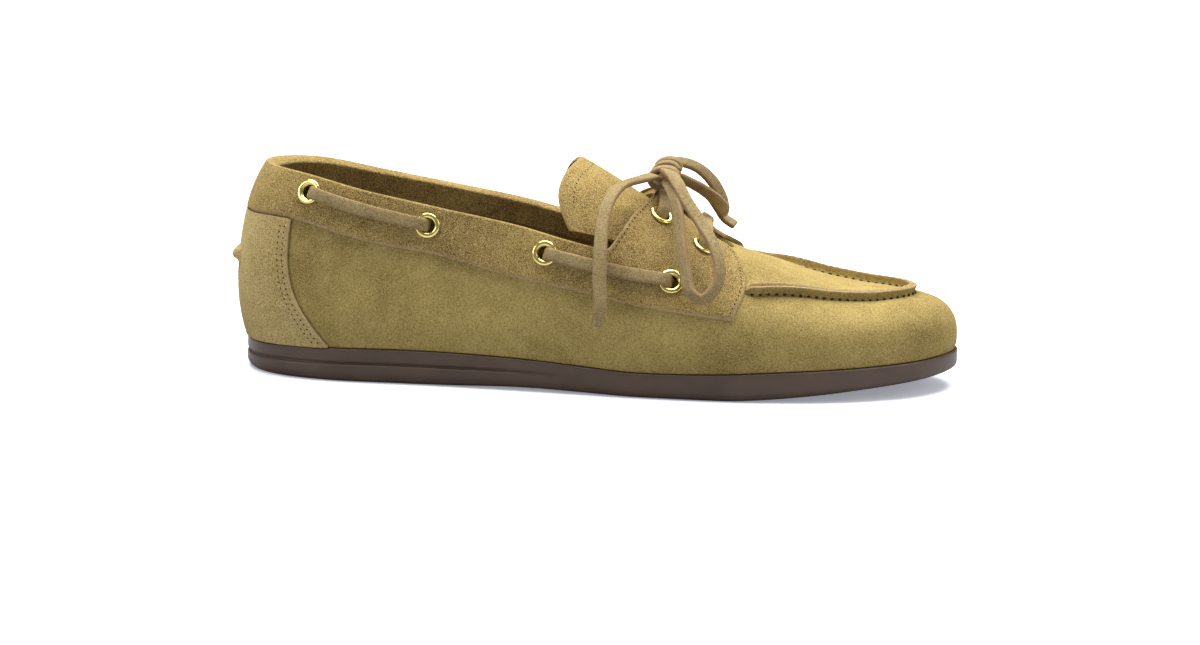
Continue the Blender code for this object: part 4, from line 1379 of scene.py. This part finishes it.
END_NEAR = CordRoute("lace_end_near", (
    (0.1096, -0.0108, 0.0730), (0.1078, -0.0165, 0.0740), (0.1045, -0.0205, 0.0736),
    (0.0985, -0.0245, 0.0720), (0.0945, -0.0310, 0.0683), (0.0925, -0.0375, 0.0625),
    (0.0918, -0.0435, 0.0539), (0.0918, -0.0475, 0.0432), (0.0925, -0.0500, 0.0345),
    (0.0915, -0.0505, 0.0270),
), (UPWARD, UPWARD, UPWARD, (-0.3, -0.3, 0.85), (-0.35, -0.6, 0.6), (-0.2, -0.85, 0.4), OUT,
    (0.0, -1.0, 0.1), (0.15, -1.0, 0.0), (0.1, -1.0, 0.0)), "bare")
END_FAR = CordRoute("lace_end_far", (
    (0.1152, 0.0074, 0.0714), (0.1186, 0.0115, 0.0694), (0.1230, 0.0160, 0.0664),
    (0.1275, 0.0200, 0.0626), (0.1315, 0.0225, 0.0575), (0.1345, 0.0230, 0.0538),
    (0.1378, 0.0225, 0.0518),
), (UPWARD,) * 7, "bare")
LOOP_NEAR = CordRoute("lace_loop_near", (
    (0.1130, -0.0128, 0.0756), (0.1148, -0.0180, 0.0754), (0.1170, -0.0235, 0.0734),
    (0.1205, -0.0300, 0.0683), (0.1260, -0.0365, 0.0613), (0.1310, -0.0430, 0.0540),
    (0.1330, -0.0470, 0.0464), (0.1310, -0.0490, 0.0401), (0.1270, -0.0495, 0.0370),
    (0.1235, -0.0485, 0.0387), (0.1215, -0.0455, 0.0447), (0.1195, -0.0400, 0.0539),
    (0.1181, -0.0336, 0.0629), (0.1162, -0.0263, 0.0691), (0.1144, -0.0184, 0.0720),
    (0.1134, -0.0124, 0.0721),
), (FRONT, FRONT, FRONT, (0.2, -0.8, 0.6), (0.35, -0.8, 0.45), (0.5, -0.8, 0.25), (0.6, -0.8, 0.0),
    (0.45, -0.8, -0.4), (0.05, -0.8, -0.6), (-0.45, -0.8, -0.4), (-0.6, -0.8, 0.0), (-0.55, -0.8, 0.1),
    (-0.5, -0.8, 0.2), (-0.4, -0.8, 0.3), (-0.3, -0.8, 0.4), (-0.2, -0.8, 0.5)), "knot")
LOOP_FAR = CordRoute("lace_loop_far", (
    (0.1127, 0.0054, 0.0765), (0.1165, 0.0085, 0.0762), (0.1215, 0.0115, 0.0748),
    (0.1260, 0.0150, 0.0718), (0.1305, 0.0180, 0.0665), (0.1332, 0.0190, 0.0612),
    (0.1342, 0.0165, 0.0578), (0.1328, 0.0115, 0.0602), (0.1298, 0.0065, 0.0640),
    (0.1250, 0.0030, 0.0678), (0.1208, 0.0008, 0.0702), (0.1178, -0.0012, 0.0718),
), ((-0.2, -0.5, 0.85), (-0.1, -0.5, 0.85), (0.2, -0.6, 0.8), (0.5, -0.7, 0.5), (0.7, -0.7, 0.2),
    (0.7, -0.7, -0.1), (0.4, -0.8, -0.5), (-0.2, -0.8, -0.6), (-0.4, -0.8, -0.5), (-0.4, -0.8, -0.5),
    (-0.3, -0.8, -0.5), (-0.2, -0.8, -0.5)), "knot")
KNOT_ROUTE = ((0.1122, -0.0100, 0.0724), (0.1127, -0.0035, 0.0733), (0.1130, 0.0035, 0.0728))


class Wrap(NamedTuple):
    """One turn of lace round the knot: shift along the knot, radius, lean as a share, and lift."""

    shift: float
    reach: float
    lean: float
    lift: float


WRAPS = (
    Wrap(-4.2 * MM, 4.3 * MM, 0.5, -0.6 * MM),
    Wrap(1.8 * MM, 4.0 * MM, -0.6, -0.4 * MM),
    Wrap(7.0 * MM, 3.7 * MM, 0.3, 0.5 * MM),
)


@dataclass
class Laces:
    """Lace strands through the eyelets, the knot and the bow."""

    last: Last
    eyelets: Eyelets
    strap: Strap = field(default_factory=Strap)
    wrap: Strap = field(default_factory=lambda: Strap(4.2 * MM, 1.9 * MM))
    core: Strap = field(default_factory=lambda: Strap(4.6 * MM, 4.2 * MM))
    knot_lift: float = 0.2 * MM
    wrap_wide: float = 1.15
    wrap_tall: float = 0.85
    sag: float = 0.5 * MM
    sunk: float = 1.5 * MM
    steps: int = 110

    def bow(self) -> list[tuple[Thing, CordRoute, Array]]:
        """Build the two loops and the two ends."""
        made = []
        for route in (END_NEAR, END_FAR, LOOP_NEAR, LOOP_FAR):
            piece, path = self.strap.build(f"{route.node}_strap", np.array(route.points), np.array(route.faces),
                                           self.steps)
            made.append((piece, route, path))
        return made

    def knot(self) -> Thing:
        """Build the knot: wraps round a thick core."""
        centre = np.array(KNOT_ROUTE[1]) + np.array([0.0, 0.0, self.knot_lift])
        axis = unit(np.array([0.10, 0.95, 0.10]))
        first = np.array([0.9, -0.1, 0.2])
        first = unit(first - axis * (first @ axis))
        second = np.cross(axis, first)
        angle = np.linspace(0.15, 2 * math.pi - 0.15, 60)
        wraps = []
        look = first * np.cos(angle)[:, None] + second * np.sin(angle)[:, None]
        for wrap in WRAPS:
            ring = (centre + wrap.lift * np.array(UPWARD)
                    + axis * (wrap.shift + wrap.lean * 2 * MM * np.sin(angle))[:, None]
                    + first * (wrap.reach * self.wrap_wide * np.cos(angle))[:, None]
                    + second * (wrap.reach * self.wrap_tall * np.sin(angle))[:, None])
            wraps.append(self.wrap.build("wrap", ring, look, 70)[0])
        core = self.core.build("core", np.array(KNOT_ROUTE), np.array([UPWARD] * 3), 24)[0]
        return join([*wraps, core], "lace_knot_straps")

    def bars(self) -> list[tuple[Thing, str]]:
        """Build the strands that lie on the band and cross the throat."""
        made = []
        rows = {row.name: row for row in EYELET_SPOTS}
        for side in Side:
            for first, second in (("1", "2"), ("3", "4")):
                node = f"lace_{side.name.lower()}_{first}_{second}"
                made.append((self._bar(side, rows[first], rows[second], node), node))
        for name in ("top", "front"):
            node = f"lace_throat_{name}"
            made.append((self._throat(rows[name], node), node))
        return made

    def _over(self) -> tuple[float, float, float]:
        """Heights of the lace's middle inside the hole, over the rim and on the band."""
        band = self.last.clear + self.eyelets.band
        half = self.strap.thickness / 2
        return -self.sunk, band + self.eyelets.stand + self.eyelets.roll + half, band + half + 0.15 * MM

    def _bar(self, side: Side, first: EyeletSpot, second: EyeletSpot, name: str) -> Thing:
        """One strand from eyelet to eyelet over the band."""
        last = self.last
        inside, over, rest = self._over()
        start = self.eyelets.spot(side, first)[0][2]
        end = self.eyelets.spot(side, second)[0][2]
        steps = ((0.004, inside), (0.012, 0.3 * over), (0.035, 0.80 * over), (0.075, over), (0.13, over * 0.98),
                 (0.24, (over + rest) / 2), (0.40, rest), (0.60, rest), (0.76, (over + rest) / 2),
                 (0.87, over * 0.98), (0.925, over), (0.965, 0.80 * over), (0.988, 0.3 * over), (0.996, inside))
        route = []
        looks = []
        for share, out in steps:
            turn = side.value * float(last.turn_of(first.along + (second.along - first.along) * share))
            height = start + (end - start) * share - self.sag * math.sin(share * math.pi)
            i = np.argmin(np.abs(last.turns - turn))
            arc = float(np.interp(height, last.points[i, :, 2], np.linspace(0, last.full[i], last.points.shape[1])))
            route.append(last.at(turn, arc, out))
            looks.append(last.normal(turn, arc))
        return self.strap.build(f"{name}_strap", np.array(route), np.array(looks), 120)[0]

    def _throat(self, row: EyeletSpot, name: str) -> Thing:
        """One strand across the throat from eyelet to eyelet."""
        last = self.last
        inside, over, rest = self._over()
        route: list[Array] = []
        looks: list[Array] = []
        for side in Side:
            turn = side.value * float(last.turn_of(row.along))
            low, top, full = (last.read(line, turn) for line in (last.low, last.top, last.full))
            hole = low + (top - low) * row.level
            spots = ((hole, inside), (hole + 0.2 * MM, 0.45 * over), (hole + 1.6 * MM, 0.9 * over),
                     (hole + 4.0 * MM, over), (full - last.slot_half, (over + rest) / 2))
            points = [last.at(turn, arc, out) for arc, out in spots]
            faces = [last.normal(turn, arc) for arc, _ in spots]
            if side is Side.LATERAL:
                route = points + [last.at(turn, full, 2.6 * MM)]
                looks = faces + [np.array([0.2, 0.0, 1.0])]
            else:
                route += points[::-1]
                looks += faces[::-1]
        return self.strap.build(f"{name}_strap", np.array(route), np.array(looks), self.steps)[0]


@dataclass
class Stitching:
    """Stitch holes of every seam."""

    last: Last
    upper: Upper
    band: CollarBand
    counter: HeelCounter
    tongue: Tongue
    facing_pitch: float = 1.9 * MM
    facing_inset: float = 1.7 * MM
    rear_inset: float = 3.4 * MM
    rear_span: tuple = (0.509, 0.577)
    counter_pitch: float = 2.0 * MM
    counter_insets: tuple = (1.5 * MM, 3.3 * MM)
    tongue_ahead: float = 0.075
    v_pitch: float = 1.6 * MM
    v_lines: tuple = ((8.6 * MM, 3.0 * MM), (6.4 * MM, 1.4 * MM))
    v_drop: float = 2.6 * MM
    v_height: float = 7.0 * MM
    v_curve: float = 57 * MM
    ridge_gap: float = 1.30 * MM
    ridge_out: float = 0.15 * MM

    def holes(self) -> Thing:
        """Dark marks along the edges of the facings, counter and tongue: painted shade of the stitch holes."""
        marks = Beads("stitch_holes", 0.85 * MM, 0.55 * MM, 0.30 * MM, sink=0.02 * MM, tilt=0.5)
        last = self.last
        face = last.clear + self.band.band
        for side in Side:
            level = np.linspace(0.04, 0.93, 60)
            turn = side.value * last.turn_of(self.band.front(level) - self.facing_inset / last.length)
            self._row(marks, turn, self.band.lengths(turn, level), face, self.facing_pitch)
            turn = side.value * last.turn_of(np.linspace(*self.rear_span, 60))
            self._row(marks, turn, last.read(last.top, turn) - self.rear_inset, face, self.facing_pitch)
            level = np.linspace(0.03, 0.96, 80)
            for inset in self.counter_insets:
                turn = side.value * (self.counter.edge_turn(level) - inset / self.counter.curve)
                self._row(marks, turn, self.counter.arc(turn, level), last.clear + self.counter.thickness,
                          self.counter_pitch)
            across = np.linspace(0.03, 0.80, 80) * side.value
            turn, arcs = self.tongue.spot(np.full(80, self.tongue_ahead), across)
            self._row(marks, turn, arcs, -self.tongue.inset, self.counter_pitch)
        self._heel_v(marks)
        return marks.build()

    def _heel_v(self, marks: Beads) -> None:
        """Rows of holes that run down from the pinch to a point."""
        last = self.last
        centre = last.read(last.low, 0.0) - self.counter.pinch_height
        for side in Side:
            for near, far in self.v_lines:
                share = np.linspace(0.0, 1.0, 20)
                across = near + (far - near) * share
                arc = centre - self.v_drop - self.v_height * share
                turn = side.value * across / self.v_curve
                self._row(marks, turn, arc, last.clear + self.counter.thickness, self.v_pitch)

    def _row(self, marks: Beads, turn: Array, arc: Array, out: float, pitch: float) -> None:
        """Add one row of marks on the last."""
        marks.add(self.last.at(turn, arc, out), self.last.normal(turn, arc), pitch, 0.4 * pitch)

    def whip_holes(self) -> Thing:
        """Dark marks at both feet of the apron ridge: painted shade of the whip-stitch holes."""
        marks = Beads("ridge_holes", 1.35 * MM, 1.0 * MM, 0.8 * MM, sink=-0.10 * MM)
        turns = ring_turns(900)
        for half in (turns[turns < -1.2], turns[turns > 1.2]):
            seam = self.upper.seam_arcs(half)
            keep = self.upper.ridge_share(half) > 0.85
            order = slice(None, None, -1 if half[0] < 0 else 1)
            for offset in (-self.ridge_gap, self.ridge_gap):
                points = self.last.at(half, seam + offset, self.ridge_out)[keep][order]
                normals = self.last.normal(half, seam)[keep][order]
                marks.add(points, normals, self.upper.stitch_pitch, 1.2 * MM)
        return marks.build()


class Lamp(NamedTuple):
    """An area light: place, side and watts."""

    name: str
    spot: tuple
    size: float
    power: float


LAMPS = (
    Lamp("overhead", (0.10, 0.20, 1.10), 1.3, 36.5),
    Lamp("front_left", (-1.00, -0.70, 0.60), 0.6, 3.8),
    Lamp("right", (1.10, -0.30, 0.55), 0.6, 2.6),
)


@dataclass
class Studio:
    """Camera, floor and soft light."""

    target: tuple = (0.090, 0.0, 0.035)
    azimuth: float = -1.84
    elevation: float = 10.67
    roll: float = -1.60
    distance: float = 1.3
    pixels_per_metre: float = 2811.0
    image_width: float = 1200.0
    image_height: float = 645.0
    target_pixel: tuple = (598.6, 277.0)
    sensor: float = 36.0
    floor_size: float = 2.1
    floor_drop: float = 0.0001
    lamp_aim: tuple = (0.09, 0.0, 0.03)
    surround_light: float = 0.24
    surround_seen: float = 1.6

    def camera(self) -> None:
        """Place the camera as the photograph's."""
        az, el, roll = (math.radians(v) for v in (self.azimuth, self.elevation, self.roll))
        ahead = Vector((math.sin(az) * math.cos(el), math.cos(az) * math.cos(el), -math.sin(el)))
        level = ahead.cross(Vector((0, 0, 1))).normalized()
        above = level.cross(ahead)
        right = level * math.cos(roll) - above * math.sin(roll)
        up = level * math.sin(roll) + above * math.cos(roll)
        off_x = (self.target_pixel[0] - self.image_width / 2) / self.pixels_per_metre
        off_y = (self.target_pixel[1] - self.image_height / 2) / self.pixels_per_metre
        place = Vector(self.target) - ahead * self.distance - right * off_x + up * off_y
        data = bpy.data.cameras.new("camera")
        data.sensor_width = self.sensor
        data.lens = self.pixels_per_metre * self.distance * self.sensor / self.image_width
        data.clip_end = 100.0
        made = bpy.data.objects.new("camera", data)
        made.matrix_world = Matrix.Translation(place) @ Matrix((right, up, -ahead)).transposed().to_4x4()
        bpy.context.scene.collection.objects.link(made)
        bpy.context.scene.camera = made

    def floor(self) -> None:
        """Add a wide pale floor."""
        deselect_all()
        bpy.ops.mesh.primitive_plane_add(size=self.floor_size, location=(0.09, 0.0, -self.floor_drop))
        floor = bpy.context.active_object
        floor.name = "floor"
        made, wiring, shader = new_material("pale_floor")
        seen = wiring.node("ShaderNodeLightPath").outputs["Is Camera Ray"]
        tone = wiring.mix(seen, (0.42, 0.43, 0.45, 1.0), (0.95, 0.96, 0.98, 1.0))
        glow = wiring.mix(seen, (0.0, 0.0, 0.0, 1.0), (0.27, 0.28, 0.31, 1.0))
        wiring.plug(shader, {"Base Color": tone, "Emission Color": glow, "Emission Strength": 1.0,
                             "Roughness": 0.8, "Specular IOR Level": 0.1})
        floor.data.materials.append(made)

    def lights(self) -> None:
        """Add the soft overhead, side and front lights and the white surround."""
        world = bpy.data.worlds.new("surround")
        bpy.context.scene.world = world
        world.use_nodes = True
        background = world.node_tree.nodes["Background"]
        wiring = Wiring(world.node_tree)
        seen = wiring.node("ShaderNodeLightPath").outputs["Is Camera Ray"]
        strength = wiring.stretch(seen, 0.0, 1.0, self.surround_light, self.surround_seen)
        wiring.plug(background, {"Color": (0.92, 0.96, 1.06, 1.0), "Strength": strength})
        bpy.context.scene.view_settings.view_transform = "Standard"
        for lamp in LAMPS:
            data = bpy.data.lights.new(lamp.name, "AREA")
            data.size = lamp.size
            data.energy = lamp.power
            light = bpy.data.objects.new(lamp.name, data)
            light.location = lamp.spot
            aim = Vector(self.lamp_aim) - Vector(lamp.spot)
            light.rotation_euler = aim.to_track_quat("-Z", "Y").to_euler()
            bpy.context.scene.collection.objects.link(light)


def main() -> None:
    """Build the shoe in order and report each piece."""
    logging.basicConfig(level=logging.INFO, format="%(message)s")
    studio = Studio()
    studio.camera()
    finishes = Finishes()
    last = Last()
    eyelets = Eyelets(last)
    laces = Laces(last, eyelets)
    for piece, route, path in laces.bow():
        dress(piece, finishes.lace, Slot.LACE, [route.node])
        length = float(lengths_along(path)[-1])
        tuple(route.points[0])
        LOG.info("%s %.0f mm", piece.name, length / MM)
    dress(laces.knot(), finishes.lace, Slot.LACE, ["lace_knot"])
    for bar, node in laces.bars():
        dress(bar, finishes.lace, Slot.LACE, [node])
    LOG.info("laces")

    drills = eyelets.cutters()
    upper = Upper(last)
    body = upper.build()
    drill(body, drills)
    dress(body, finishes.suede, Slot.SUEDE, ["upper"])
    LOG.info("upper %d faces", len(body.data.polygons))
    band = CollarBand(last)
    collar = band.build()
    drill(collar, drills)
    dress(collar, finishes.band, Slot.BAND, ["collar_band", "collar_lining"])
    LOG.info("collar band %d faces", len(collar.data.polygons))
    bpy.data.objects.remove(drills)
    counter = HeelCounter(last)
    dress(counter.build(), finishes.counter, Slot.SUEDE, ["heel_counter", "heel_tab"])
    tongue = Tongue(last)
    dress(tongue.build(), finishes.band, Slot.BAND, ["tongue"])
    dress(Outsole(last).build(), finishes.rubber, Slot.RUBBER, ["outsole"])
    dress(Insole(last).build(), finishes.insole, Slot.INSOLE, ["insole"])
    LOG.info("counter, tongue and soles")
    for piece in eyelets.build():
        dress(piece, finishes.brass, Slot.BRASS, [piece.name.replace("_brass", "")])
    stitching = Stitching(last, upper, band, counter, tongue)
    dress(stitching.holes(), finishes.hole, Slot.BAND)
    dress(stitching.whip_holes(), finishes.hole, Slot.SUEDE)
    LOG.info("eyelets and stitches")
    studio.floor()
    studio.lights()


if __name__ == "__main__":
    main()
